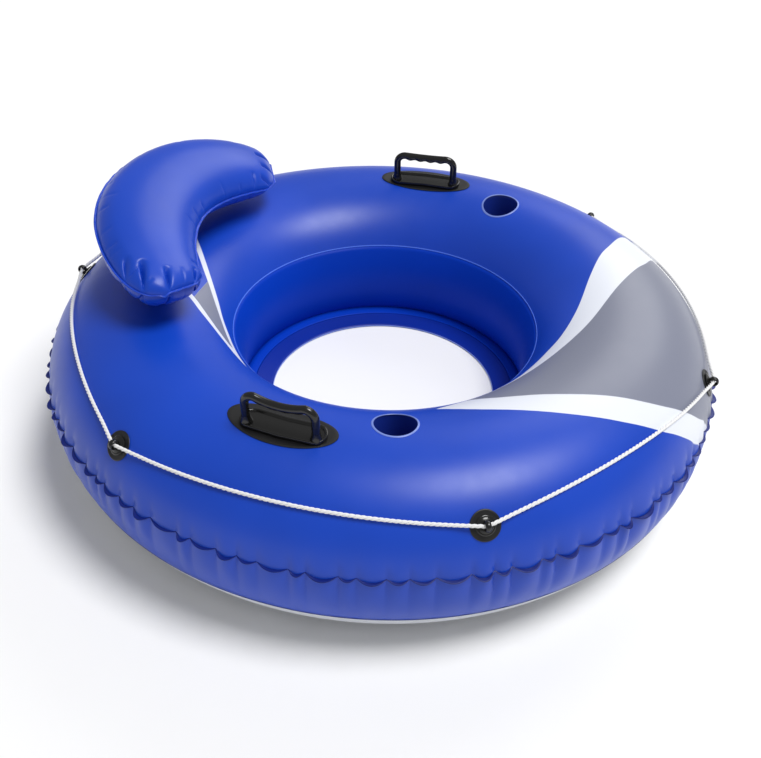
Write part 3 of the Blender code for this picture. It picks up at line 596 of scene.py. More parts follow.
VINYL_BLUE = paint(11, 66, 187)
BLUE = Finish("blue_vinyl_skin", "blue_vinyl", VINYL_BLUE, 0.37, shine=0.42)
PRINTED_BLUE = PrintedFinish("printed_blue_vinyl", "blue_vinyl", VINYL_BLUE, 0.37, shine=0.42)
# Painted shade: the inner wall and outer collar take a darker copy of the skin's blue, standing for the shade
# inside the hole.
SHADED_WALL_BLUE = Finish("inner_wall_blue_vinyl", "blue_vinyl", paint(5, 58, 182), 0.42, shine=0.08)
COLLAR_BLUE = Finish("floor_collar_blue_vinyl", "deep_blue_vinyl", paint(5, 41, 148), 0.40, shine=0.22)
# Painted shade: a much darker copy of the blue vinyl, standing for the shadow under the outer weld flange's
# overhang; the lower weld and the headrest strip share it.
SHADED_EDGE_BLUE = Finish("blue_weld_edge_painted_shade", "blue_vinyl", paint(5, 28, 112), 0.34, wave_depth=0.0002, shine=0.3)
# Painted highlight: the thin weld ridges round the inner seam and the floor collar are pale blue, standing
# for the light line that each ridge catches.
HIGHLIT_WELD_LINE = Finish("weld_line", "pale_vinyl", paint(84, 124, 236), 0.25, wave_depth=0.0001)
# Painted highlight: a lighter copy of the blue vinyl on the headrest's weld bead, standing for the light line
# along its weld.
HIGHLIT_BEAD_BLUE = Finish("weld_bead_painted_highlight", "blue_vinyl", paint(30, 74, 204), 0.22, wave_depth=0.0001, shine=0.9)
GREY = Finish("grey_vinyl_underside", "grey_vinyl", paint(206, 209, 216), 0.42)
WHITE = Finish("white_vinyl_floor", "white_vinyl", paint(252, 252, 251), 0.50, tone=0.008)
NAVY = Finish("navy_vinyl_cup", "navy_vinyl", paint(28, 54, 156), 0.45, shine=0.3)
PALE = Finish("pale_vinyl_rim", "pale_vinyl", paint(120, 142, 216), 0.35, wave_depth=0.0001)
BLACK_VINYL = Finish("black_vinyl_patch", "black_vinyl", paint(17, 17, 19), 0.42, grain_scale=500.0,
                     grain_depth=0.00008, wave_depth=0.0002)
BLACK_PLASTIC = Finish("black_plastic", "black_plastic", paint(2, 2, 3), 0.13, grain_scale=1400.0,
                       grain_depth=0.00001, wave_scale=40.0, wave_depth=0.0001, shine=0.2)
CLEAR = Finish("clear_plastic", "clear_plastic", paint(206, 214, 236), 0.18, tone=0.02, see_through=0.75,
               wave_depth=0.0)
ROPE = RopeFinish("white_rope", "white_rope", paint(232, 234, 240), 0.75, grain_scale=1800.0,
                  grain_depth=0.0003, wave_depth=0.0)


def dress(piece: Piece, finish: Finish, body: str, *stands_for: str) -> Piece:
    """Give a piece its finish and its body.

    Args:
        piece: A finished piece, its object at the origin.
        finish: What it is made of.
        body: The body that it rides on.
        stands_for: The CAD nodes that it stands for.

    Returns:
        The same piece.
    """
    piece.data.materials.clear()
    piece.data.materials.append(finish.material)
    for face in piece.data.polygons:
        face.material_index = 0
    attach(piece, body)
    if stands_for:
        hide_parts(*stands_for)
    LOG.info("%s: %d faces on %s", piece.name, len(piece.data.polygons), body)
    return piece


# The print


@dataclass(frozen=True)
class Artwork:
    """A swoosh of a dark ink inside a pale one, seen from above, measured from the hole's axis.

    The first two edges bound the pale ink, and the next two, inside them, the dark ink. Where there is a
    fifth edge, the dark ink ends at it, and past it the vinyl shows between the two pale stripes.
    """

    name: str
    inside: tuple[float, float]
    edges: tuple[Points, ...]

    @property
    def attributes(self) -> list[str]:
        """The names of the sheet's attributes, one for each edge."""
        return ["%s_edge_%d" % (self.name, number) for number in range(len(self.edges))]

    @staticmethod
    def split(values: list) -> tuple[list, list, list]:
        """One value for each edge, parted into the pale ink's, the dark ink's and the notch's."""
        return values[:2], values[2:4], values[4:]

    def mark(self, piece: Piece, shift: float) -> None:
        """Write on a sheet how far each vertex lies inside each edge.

        Args:
            piece: The sheet.
            shift: How far the hole's axis lies from the origin, along Y.
        """
        places = np.array([vertex.co[:2] for vertex in piece.data.vertices]) - (0.0, shift)
        inside = np.array([self.inside])
        for name, edge in zip(self.attributes, self.edges):
            line = self.eased(edge)
            distances = self.distance(places, line) * np.sign(self.distance(inside, line))[0]
            attribute = piece.data.attributes.new(name, "FLOAT", "POINT")
            attribute.data.foreach_set("value", distances.astype(np.float32))

    @staticmethod
    def eased(edge: Points, steps: int = 8, overrun: float = 4.0) -> np.ndarray:
        """The edge's points joined by a smooth curve that goes on straight past both ends.

        Args:
            edge: The points.
            steps: Parts of the curve between two points.
            overrun: How far it goes on, in lengths of the last part.

        Returns:
            The points of the curve.
        """
        points = np.array(edge, float)
        ends = np.vstack([2 * points[0] - points[1], points, 2 * points[-1] - points[-2]])
        line = [points[0] + overrun * (points[0] - points[1])]
        for before, start, end, after in zip(ends, ends[1:], ends[2:], ends[3:]):
            for share in np.arange(steps) / steps:
                bend = 2 * start + (end - before) * share
                bend = bend + (2 * before - 5 * start + 4 * end - after) * share ** 2
                line.append(0.5 * (bend + (3 * start - before - 3 * end + after) * share ** 3))
        return np.vstack([line, points[-1], points[-1] + overrun * (points[-1] - points[-2])])

    @staticmethod
    def distance(places: np.ndarray, line: np.ndarray) -> np.ndarray:
        """Distance of places from a line.

        Args:
            places: The places.
            line: The line's points.

        Returns:
            The distances, positive on the line's left and negative on its right.
        """
        best = np.full(len(places), np.inf)
        signed = np.zeros(len(places))
        for start, end in zip(line, line[1:]):
            run = end - start
            share = np.clip(((places - start) @ run) / (run @ run), 0.0, 1.0)
            away = places - (start + share[:, None] * run)
            length = np.hypot(away[:, 0], away[:, 1])
            side = np.sign(run[0] * (places[:, 1] - start[1]) - run[1] * (places[:, 0] - start[0]))
            nearer = length < best - NEARLY_SAME
            best = np.where(nearer, length, best)
            signed = np.where(nearer, length * side, signed)
        return signed


FOOT_PRINT = Artwork("foot", (0.05, -0.52), (
    ((0.600, -0.520), (0.500, -0.462), (0.420, -0.428), (0.374, -0.413), (0.307, -0.399), (0.255, -0.386),
     (0.177, -0.378), (0.073, -0.372), (-0.010, -0.357), (-0.067, -0.336), (-0.121, -0.315), (-0.160, -0.298),
     (-0.215, -0.262)),
    ((-0.308, -0.070), (-0.318, -0.120), (-0.323, -0.180), (-0.321, -0.250), (-0.311, -0.312),
     (-0.288, -0.413), (-0.261, -0.489), (-0.239, -0.533), (-0.216, -0.569), (-0.196, -0.591),
     (-0.167, -0.617), (-0.133, -0.638), (-0.080, -0.656), (-0.050, -0.690)),
    ((0.560, -0.600), (0.460, -0.535), (0.355, -0.492), (0.281, -0.478), (0.237, -0.464), (0.142, -0.436),
     (0.030, -0.407), (-0.038, -0.380), (-0.106, -0.343), (-0.150, -0.313), (-0.200, -0.275)),
    ((-0.248, -0.170), (-0.260, -0.217), (-0.267, -0.276), (-0.261, -0.316), (-0.251, -0.353),
     (-0.238, -0.399), (-0.222, -0.445), (-0.197, -0.509), (-0.183, -0.539), (-0.167, -0.565),
     (-0.148, -0.588), (-0.128, -0.609), (-0.098, -0.633), (-0.055, -0.652), (0.000, -0.680)),
))
HEAD_PRINT = Artwork("head", (-0.12, 0.335), (
    ((0.320, 0.650), (0.220, 0.566), (0.120, 0.486), (0.045, 0.428), (0.014, 0.404), (-0.027, 0.373),
     (-0.060, 0.348), (-0.094, 0.323), (-0.131, 0.298), (-0.166, 0.271), (-0.189, 0.254), (-0.230, 0.222),
     (-0.275, 0.187)),
    ((0.190, 0.710), (0.145, 0.672), (0.062, 0.612), (-0.027, 0.530), (-0.100, 0.435), (-0.144, 0.361),
     (-0.166, 0.331), (-0.191, 0.294), (-0.218, 0.256), (-0.236, 0.233), (-0.256, 0.209), (-0.275, 0.187)),
    ((0.290, 0.636), (0.190, 0.556), (0.110, 0.492), (0.053, 0.447), (0.008, 0.413), (-0.035, 0.380),
     (-0.069, 0.353), (-0.103, 0.327), (-0.138, 0.300), (-0.175, 0.2725), (-0.205, 0.249), (-0.230, 0.229),
     (-0.290, 0.180)),
    ((0.200, 0.700), (0.160, 0.660), (0.080, 0.600), (-0.012, 0.520), (-0.088, 0.430), (-0.134, 0.356),
     (-0.156, 0.326), (-0.183, 0.290), (-0.208, 0.255), (-0.2135, 0.246), (-0.219, 0.232), (-0.225, 0.200)),
    ((-0.300, 0.3555), (-0.155, 0.3562), (-0.100, 0.359), (-0.040, 0.3612), (0.100, 0.363)),
))


# The ring


@dataclass(frozen=True)
class RingForm:
    """The tube's shape: a slightly full ellipse swept round the hole, swollen at the head end."""

    outer_radius: float = 0.660
    half_width: float = 0.1886
    half_height: float = 0.179
    fullness: float = 2.08
    flattening: float = 0.0023
    draw_in: float = 0.0030
    head_swell_out: float = 0.0285
    head_swell_up: float = 0.0089
    head_swell_power: float = 4.1
    axis_y: float = -0.014784
    outer_seam: float = 8.4
    inner_seam: float = 150.4
    side_foot: float = -25.6
    inner_foot: float = 205.6
    height_rounds: int = 6

    @property
    def centre_radius(self) -> float:
        """Radius of the tube's centre line."""
        return self.outer_radius - self.half_width

    @property
    def hole_radius(self) -> float:
        """Radius of the hole."""
        return self.centre_radius - self.half_width

    @property
    def centre_height(self) -> float:
        """Height of the tube's centre line."""
        return self.half_height - self.flattening

    def offset(self, section: float) -> tuple[float, float]:
        """A place on the even section.

        Args:
            section: The section angle.

        Returns:
            Its radial and vertical distance from the tube's centre line.
        """
        angle = math.radians(section)
        exponent = 2.0 / self.fullness
        across, up = math.cos(angle), math.sin(angle)
        return (self.half_width * math.copysign(abs(across) ** exponent, across),
                self.half_height * math.copysign(abs(up) ** exponent, up))

    def swell(self, x: float, y: float, z: float) -> Vector:
        """Carry a point of an even ring onto this one.

        Args:
            x: Its X from the hole's axis.
            y: Its Y from the hole's axis.
            z: Its height.

        Returns:
            Where it lies on this ring.
        """
        radius = math.hypot(x, y)
        share = max((radius - self.hole_radius) / (2.0 * self.half_width), 0.0) ** 2
        headward = max(0.5 * (1.0 + y / radius), 0.0) ** self.head_swell_power
        grown = 1.0 + share * (self.head_swell_out * headward - self.draw_in) / radius
        rise = share * self.head_swell_up * headward * z / (2.0 * self.half_height)
        return Vector((x * grown, y * grown + self.axis_y, z + rise))

    def around(self, theta: float, radius: float, height: float) -> Vector:
        """A place by its angle round the hole, radius and height."""
        angle = math.radians(theta)
        return self.swell(radius * math.sin(angle), -radius * math.cos(angle), height)

    def skin(self, theta: float, section: float) -> Vector:
        """A place on the tube's skin."""
        across, up = self.offset(section)
        return self.around(theta, self.centre_radius + across, max(self.centre_height + up, 0.0))

    def frame(self, theta: float, section: float, lift: float = 0.0, step: float = 0.05) -> Matrix:
        """Frame on the skin: X round the ring, Y up the section, Z outwards.

        Args:
            theta: Angle round the ring.
            section: Section angle.
            lift: How far its origin stands off the skin.
            step: Degrees over which the slopes are taken.

        Returns:
            The frame.
        """
        tangent = (self.skin(theta + step, section) - self.skin(theta - step, section)).normalized()
        climb = self.skin(theta, section + step) - self.skin(theta, section - step)
        normal = tangent.cross(climb).normalized()
        matrix = Matrix((tangent, normal.cross(tangent), normal)).transposed().to_4x4()
        matrix.translation = self.skin(theta, section) + normal * lift
        return matrix

    def arc(self, section: float) -> float:
        """Length of one degree of the section there."""
        before, after = self.offset(section - 0.5), self.offset(section + 0.5)
        return math.hypot(after[0] - before[0], after[1] - before[1])

    def height(self, x: float, y: float) -> float:
        """Height of the tube's upper skin over a point, found in a few rounds.

        Args:
            x: The point's X.
            y: The point's Y.

        Returns:
            The height.
        """
        reach = math.hypot(x, y - self.axis_y)
        radius = reach
        for _ in range(self.height_rounds):
            share = abs((radius - self.centre_radius) / self.half_width)
            up = self.half_height * (1.0 - share ** self.fullness) ** (1.0 / self.fullness)
            grown = radius / reach
            spot = self.swell(x * grown, (y - self.axis_y) * grown, self.centre_height + up)
            radius += reach - math.hypot(spot.x, spot.y - self.axis_y)
        return spot.z

    def drape(self, piece: Piece, theta: float, section: float) -> Piece:
        """Bend a flat piece, modelled round the origin with Z up, onto the skin.

        Args:
            piece: The flat piece.
            theta: Where its middle goes, round the ring.
            section: Where its middle goes, up the section.

        Returns:
            The same piece.
        """
        radius = self.centre_radius + self.offset(section)[0]
        rise = self.arc(section)
        for vertex in piece.data.vertices:
            x, y, z = vertex.co
            turn = theta + math.degrees(x / radius)
            vertex.co = self.frame(turn, section + y / rise, z).translation
        return piece


FORM = RingForm()


@dataclass(frozen=True)
class SeamPuckers:
    """The creases that the outer weld gathers in the sheets beside it."""

    count: int = 97
    unevenness: float = 0.28
    strength_range: tuple[float, float] = (0.65, 1.25)
    seed: int = 11
    height: float = 0.0062
    mean_pillow: float = 0.62

    @cached_property
    def creases(self) -> list[float]:
        """The creases round the ring.

        Returns:
            Their angles, in order.
        """
        draw = random.Random(self.seed)
        pitch = 360.0 / self.count
        return [pitch * (number + 0.5 + self.unevenness * draw.uniform(-1.0, 1.0))
                for number in range(self.count)]

    @cached_property
    def strengths(self) -> list[float]:
        """How deep each pillow between two creases stands."""
        draw = random.Random(self.seed + 1)
        return [draw.uniform(*self.strength_range) for _ in range(self.count)]

    def pillow(self, theta: float) -> float:
        """Fullness between two creases.

        Args:
            theta: Angle round the ring.

        Returns:
            0 at a crease, about 1 half way to the next.
        """
        place = theta % 360.0
        number = bisect_right(self.creases, place)
        before = self.creases[number - 1] - (360.0 if number == 0 else 0.0)
        after = self.creases[number % self.count] + (360.0 if number == self.count else 0.0)
        share = (place - before) / (after - before)
        return 4.0 * share * (1.0 - share) * self.strengths[number % self.count]

    def rise(self, theta: float) -> float:
        """How far the seam climbs at a crease, or hangs between two."""
        return self.height * (self.mean_pillow - self.pillow(theta))


PUCKERS = SeamPuckers()


@dataclass
class RingSkins:
    """The four welded panels of the tube."""

    top_grid: tuple[int, int] = (1056, 42)
    side_grid: tuple[int, int] = (1056, 16)
    bottom_grid: tuple[int, int] = (528, 40)
    inner_grid: tuple[int, int] = (528, 16)
    top_crowding: float = 1.5
    side_crowding: float = 1.25
    depth_above: float = 0.0055
    depth_below: float = 0.0072
    reach_above: float = 0.024
    reach_below: float = 0.062
    even_pillow: float = 0.75
    faintest: float = 0.01
    cup_hole: float = 0.0392
    cutter_depth: float = 0.06
    cutter_steps: int = FINE_TURN

    def puckered(self, theta: float, section: float) -> Vector:
        """A place on the skin, with the creases beside the outer weld.

        Args:
            theta: Angle round the ring.
            section: Section angle.

        Returns:
            The place.
        """
        rise = FORM.arc(FORM.outer_seam)
        away = (section - FORM.outer_seam) * rise
        reach, depth = ((self.reach_above, self.depth_above) if away > 0.0
                        else (self.reach_below, self.depth_below))
        fade = math.exp(-(away / reach) ** 2)
        if fade < self.faintest:
            return FORM.skin(theta, section)
        lift = depth * fade * (PUCKERS.pillow(theta) - self.even_pillow)
        return FORM.frame(theta, section + PUCKERS.rise(theta) * fade / rise, lift).translation

    def panel(self, name: str, start: float, end: float, grid: tuple[int, int],
              spread: Callable[[float], float] = float) -> Piece:
        """One panel between two section angles.

        Args:
            name: The panel's name.
            start: Section angle of its first edge.
            end: Section angle of its last edge, further down the section.
            grid: Faces round the ring and from edge to edge.
            spread: Crowds the rows towards an edge. Without it they lie evenly.

        Returns:
            The panel, with its thickness.
        """
        def place(x: float, y: float) -> Vector:
            """Carry a point of the flat sheet onto the tube."""
            return self.puckered(-180.0 * x, start + (end - start) * spread(0.5 * (y + 1.0)))

        return thicken(bent_sheet(name, *grid, place))

    def cut_cup_hole(self, panel: Piece, side: Side) -> None:
        """Cut the hole that a cup holder hangs in.

        Args:
            panel: The top panel.
            side: The cup holder's side.
        """
        cup = CupHolder(side)
        clear_selection()
        bpy.ops.mesh.primitive_cylinder_add(vertices=self.cutter_steps, radius=self.cup_hole,
                                            depth=self.cutter_depth, location=(*cup.centre, cup.top))
        cutter = named("cup_hole_guide")
        modify(panel, "BOOLEAN", operation="DIFFERENCE", solver="EXACT", object=cutter)
        bpy.data.objects.remove(cutter, do_unlink=True)

    def make(self) -> None:
        """Make and dress the panels."""
        top = self.panel("ring_top_skin", FORM.inner_seam, FORM.outer_seam, self.top_grid,
                         lambda share: 1.0 - (1.0 - share) ** self.top_crowding)
        for side in Side:
            self.cut_cup_hole(top, side)
        smooth(top)
        for artwork in (FOOT_PRINT, HEAD_PRINT):
            artwork.mark(top, FORM.axis_y)
        dress(top, PRINTED_BLUE, Body.ROOT, "ring_top_panel")
        side_band = self.panel("ring_side_skin", FORM.outer_seam, FORM.side_foot, self.side_grid,
                               lambda share: share ** self.side_crowding)
        dress(side_band, BLUE, Body.ROOT, "ring_side_band")
        bottom = self.panel("ring_bottom_skin", FORM.side_foot, FORM.inner_foot - 360.0, self.bottom_grid)
        dress(bottom, GREY, Body.ROOT, "ring_bottom_panel")
        inner = self.panel("ring_inner_skin", FORM.inner_foot, FORM.inner_seam, self.inner_grid)
        # The inner band wears the darker blue of painted shade.
        dress(inner, SHADED_WALL_BLUE, Body.ROOT, "ring_inner_band")


@dataclass
class WeldEdges:
    """The scalloped outer weld flange and the two thin welds beside the panels."""

    skins: RingSkins
    root: float = 0.0020
    notch: float = 0.0018
    lobe: float = 0.0052
    fullest_lobe: float = 1.1
    droop: float = 0.0012
    flange_grid: tuple[int, int] = (1440, 5)
    line_grid: tuple[int, int] = (384, 8)
    line_flatness: float = 0.6
    inner_line: float = 0.0012
    lower_line: float = 0.0010

    def flange_place(self, x: float, y: float) -> Vector:
        """Carry a point of the flat strip onto the wavy flange.

        Args:
            x: Share of the way round, from -1 to 1.
            y: 1 at the flange's root and -1 at its edge.

        Returns:
            The place.
        """
        share = 0.5 * (1.0 - y)
        theta = -180.0 * x
        reach = self.notch + self.lobe * min(PUCKERS.pillow(theta), self.fullest_lobe)
        spot = self.skins.puckered(theta, FORM.outer_seam)
        outwards = Vector((spot.x, spot.y - FORM.axis_y, 0.0)).normalized()
        fall = Vector((0.0, 0.0, -self.droop * share * share))
        return spot + outwards * (share * (self.root + reach) - self.root) + fall

    def line(self, name: str, section: float, radius: float) -> Piece:
        """A thin weld round the ring: a flattened rod half sunk in the skin.

        Args:
            name: The piece's name.
            section: Section angle of the weld.
            radius: Half its width.

        Returns:
            The weld.
        """
        def place(x: float, y: float) -> Vector:
            """Carry a point of the flat strip round the weld."""
            spot = Vector((0.0, math.cos(math.pi * y), self.line_flatness * math.sin(math.pi * y)))
            return FORM.frame(-180.0 * x, section) @ (radius * spot)

        return face_out(bent_sheet(name, *self.line_grid, place))

    def make(self) -> None:
        """Make and dress the welds."""
        flange = bent_sheet("outer_weld_edge", *self.flange_grid, self.flange_place)
        # The flange's dark blue is painted shade.
        dress(thicken(flange, 2 * SHEET, 0.0), SHADED_EDGE_BLUE, Body.ROOT, "outer_weld_flange")
        # The inner weld's pale blue is a painted highlight.
        dress(self.line("inner_weld_line", FORM.inner_seam, self.inner_line), HIGHLIT_WELD_LINE, Body.ROOT)
        dress(self.line("lower_weld_line", FORM.side_foot, self.lower_line), SHADED_EDGE_BLUE, Body.ROOT)


@dataclass
class RingFloor:
    """The blue collar welded into the hole and the white floor inside it."""

    outer_collar: Points = ((0.2936, 0.1120), (0.2830, 0.1108), (0.2740, 0.1092), (0.2716, 0.1086))
    inner_collar: Points = ((0.2716, 0.1086), (0.2690, 0.1080), (0.2500, 0.1040), (0.2380, 0.1021),
                            (0.2320, 0.1012))
    collar_weld: Points = ((0.2706, 0.1080), (0.2710, 0.1094), (0.2722, 0.1096), (0.2728, 0.1086))
    floor_weld: Points = ((0.2312, 0.1006), (0.2314, 0.1022), (0.2326, 0.1024), (0.2332, 0.1014))
    floor_radius: float = 0.2380
    floor_edge: float = 0.0997
    floor_rings: int = 20
    first_ring: float = 0.3
    sag: float = 0.010
    steps: int = 192

    def sheet_ring(self, name: str, profile: Points) -> Piece:
        """A ring of sheet along a profile.

        Args:
            name: The piece's name.
            profile: Radius and height, from the outside inwards.

        Returns:
            The ring, with its thickness.
        """
        def place(x: float, y: float) -> Vector:
            """Carry a point of the flat sheet onto the ring."""
            return FORM.around(-180.0 * x, *profile[grid_line(y, len(profile))])

        return thicken(bent_sheet(name, self.steps, len(profile) - 1, place), 2 * SHEET)

    def turned_ring(self, name: str, profile: Points, closed: bool = True) -> Piece:
        """A turned piece round the hole's axis."""
        return shifted(turned(name, profile, self.steps, closed), y=FORM.axis_y)

    def make(self) -> None:
        """Make and dress the floor."""
        outer = self.sheet_ring("floor_collar_outer", self.outer_collar)
        # The outer collar wears the darker blue of painted shade, like the inner wall.
        dress(outer, SHADED_WALL_BLUE, Body.ROOT, "floor_collar")
        dress(self.sheet_ring("floor_collar_inner", self.inner_collar), COLLAR_BLUE, Body.ROOT)
        shares = [(number + self.first_ring) / (self.floor_rings + self.first_ring)
                  for number in range(self.floor_rings + 1)]
        top = [(share * self.floor_radius, self.floor_edge - self.sag * (1.0 - share ** 2))
               for share in shares]
        under = [(radius, height - 2 * SHEET) for radius, height in top]
        floor = self.turned_ring("floor_sheet", under + top[::-1], closed=False)
        dress(floor, WHITE, Body.ROOT, "floor_panel")
        # The collar weld's pale blue is a painted highlight.
        dress(self.turned_ring("collar_weld_line", self.collar_weld), HIGHLIT_WELD_LINE, Body.ROOT)
        dress(self.turned_ring("floor_weld_rim", self.floor_weld), PALE, Body.ROOT)


# Cup holders


@dataclass
class CupHolder:
    """A cup holder: a liner that hangs in the tube, and the weld round its mouth."""

    side: Side
    theta: float = 70.8
    reach: float = 0.432
    wall: Points = (
        (0.0387, 0.0006), (0.0387, -0.006), (0.0385, -0.016), (0.0383, -0.040), (0.0377, -0.070),
        (0.0373, -0.095), (0.0365, -0.111), (0.0347, -0.116), (0.0312, -0.118), (0.024, -0.1184),
        (0.012, -0.1188), (0.0004, -0.1190))
    straight_below: float = -0.016
    rim_straight_below: float = -0.001
    rim: Points = ((0.0375, 0.0), (0.0375, 0.00084), (0.0381, 0.0014), (0.0404, 0.00112), (0.0412, 0.00042),
                   (0.0412, 0.0))
    steps: int = FINE_TURN

    @property
    def centre(self) -> tuple[float, float]:
        """The cup's axis, seen from above."""
        angle = math.radians(self.theta) * self.side.value
        return self.reach * math.sin(angle), FORM.axis_y - self.reach * math.cos(angle)

    @property
    def top(self) -> float:
        """Height of the skin at the cup's axis."""
        return FORM.height(*self.centre)

    def follow(self, piece: Piece, above: float) -> Piece:
        """Raise a piece with the skin round the cup, and put it in its place.

        Args:
            piece: The piece, modelled round the origin.
            above: Height under which it stays as it is.

        Returns:
            The same piece.
        """
        x, y = self.centre
        for vertex in piece.data.vertices:
            if vertex.co.z > above:
                share = min((vertex.co.z - above) / abs(above), 1.0)
                vertex.co.z += share * (FORM.height(vertex.co.x + x, vertex.co.y + y) - self.top)
        return shifted(piece, x, y, self.top)

    def liner_place(self, x: float, y: float) -> Vector:
        """Carry a point of the flat sheet onto the liner, y from -1 at its bottom to 1 at its mouth."""
        radius, height = self.wall[grid_line(-y, len(self.wall))]
        return Vector((radius * math.cos(math.pi * x), radius * math.sin(math.pi * x), height))

    def make(self) -> None:
        """Make and dress the cup holder."""
        tag = self.side.tag
        liner = bent_sheet("cup_liner_skin_" + tag, self.steps, len(self.wall) - 1, self.liner_place)
        liner = self.follow(thicken(liner, SHEET, 1.0), self.straight_below)
        dress(face_out(liner), NAVY, Body.ROOT, "cup_liner_" + tag)
        rim = turned("cup_weld_" + tag, self.rim, self.steps, closed=True)
        dress(self.follow(rim, self.rim_straight_below), PALE, Body.ROOT, "cup_rim_" + tag)


# Grips


@dataclass
class GrabHandle:
    """A rigid moulded grip on an oval vinyl patch."""

    side: Side
    patch_theta: float
    theta: float
    patch_shift: float
    shift: float
    sag: float
    section: float = 92.0
    patch_stretch: float = 2.26667
    patch: Points = (
        (0.01125, 0.0), (0.027, 0.0), (0.0405, 0.0), (0.045, 0.0002), (0.0447, 0.0010), (0.0423, 0.0014),
        (0.04095, 0.0010), (0.027, 0.0010), (0.01125, 0.0010))
    patch_lift: float = 0.0008
    base_lift: float = 0.0028
    base_stretch: float = 0.056
    base: Points = (
        (0.0069, 0.0), (0.0161, 0.0), (0.0224, 0.0), (0.023, 0.0007), (0.023, 0.0048), (0.0225, 0.0058),
        (0.0214, 0.0062), (0.0198, 0.0060), (0.0185, 0.0050), (0.0174, 0.0022), (0.0138, 0.0020),
        (0.0069, 0.0020))
    boss: Points = ((0.004, 0.0005), (0.0116, 0.0005), (0.0113, 0.0030), (0.0102, 0.0060), (0.0092, 0.0090),
                    (0.0084, 0.0125), (0.0078, 0.0180), (0.004, 0.0180))
    half_span: float = 0.064
    height: float = 0.064
    radius: float = 0.0075
    corner: float = 0.018
    leg_heights: tuple[float, ...] = (0.001, 0.014, 0.028, 0.046)
    corner_steps: int = 8
    bar_steps: int = 48
    bar_rows: int = 24
    boss_steps: int = 40
    waves: int = 4
    wave_depth: float = 0.32
    wave_facing: tuple[float, float] = (0.55, -0.85)

    def bar_path(self) -> list[tuple[Vector, float]]:
        """The grip's centre line from foot to foot.

        Returns:
            Each point, with how far it is along the bar, 0 on the legs and corners.
        """
        half, top = self.half_span, self.height
        foot = [Vector((-half, 0.0, height)) for height in self.leg_heights]
        for step in range(1, self.corner_steps + 1):
            angle = 0.5 * math.pi * step / self.corner_steps
            foot.append(Vector((-half + self.corner * (1.0 - math.cos(angle)), 0.0,
                                top - self.corner + self.corner * math.sin(angle))))
        start = -half + self.corner
        bar = []
        for step in range(1, self.bar_steps):
            share = step / self.bar_steps
            drop = self.sag * 4.0 * share * (1.0 - share)
            bar.append((Vector((start - 2 * start * share, 0.0, top - drop)), share))
        other = [Vector((-spot.x, 0.0, spot.z)) for spot in reversed(foot)]
        return [(spot, 0.0) for spot in foot] + bar + [(spot, 0.0) for spot in other]

    def bar(self) -> Piece:
        """The bent bar, with finger waves on its underside.

        Returns:
            The bar, its feet at the origin's height.
        """
        path = self.bar_path()
        spots = [spot for spot, share in path]

        def place(x: float, y: float) -> Vector:
            """Carry a point of the flat sheet onto the bar's surface.

            Args:
                x: From foot to foot, -1 to 1.
                y: Round the bar, -1 to 1.

            Returns:
                The place.
            """
            number = grid_line(x, len(path))
            spot, share = path[number]
            before, after = spots[max(number - 1, 0)], spots[min(number + 1, len(path) - 1)]
            along = (after - before).normalized()
            outward = Vector((-along.z, 0.0, along.x))
            across, up = math.cos(math.pi * y), math.sin(math.pi * y)
            under = max(self.wave_facing[0] * across + self.wave_facing[1] * up, 0.0)
            wave = self.wave_depth * under * (0.5 - 0.5 * math.cos(math.tau * self.waves * share))
            return spot + self.radius * (1.0 + wave) * (outward * up + Vector((0.0, across, 0.0)))

        return bent_sheet("grip_bar", len(path) - 1, self.bar_rows, place)

    def make(self) -> None:
        """Make and dress the handle."""
        tag, rise = self.side.tag, FORM.arc(self.section)
        patch = turned("grip_patch_" + tag, self.patch, FINE_TURN)
        patch.data.transform(Matrix.Diagonal((self.patch_stretch, 1.0, 1.0, 1.0)))
        shifted(patch, z=self.patch_lift)
        FORM.drape(patch, self.patch_theta, self.section + self.patch_shift / rise)
        dress(face_out(patch), BLACK_VINYL, Body.ROOT, "handle_patch_" + tag)

        stand = FORM.frame(self.theta, self.section + self.shift / rise, self.base_lift)
        base = stretched(turned("grip_base", self.base, MIDDLE_TURN), self.base_stretch)
        shifted(base, z=self.base_lift)
        FORM.drape(base, self.theta, self.section + 0.5 * (self.shift + self.patch_shift) / rise)
        base.data.transform(stand.inverted())
        bosses = [shifted(turned("grip_boss", self.boss, self.boss_steps), x)
                  for x in (-self.half_span, self.half_span)]
        whole = joined("grip_" + tag, [base, self.bar()] + bosses)
        settle(face_out(whole), stand)
        dress(smooth(whole), BLACK_PLASTIC, Body.ROOT, "handle_" + tag)


# Rope and eyes


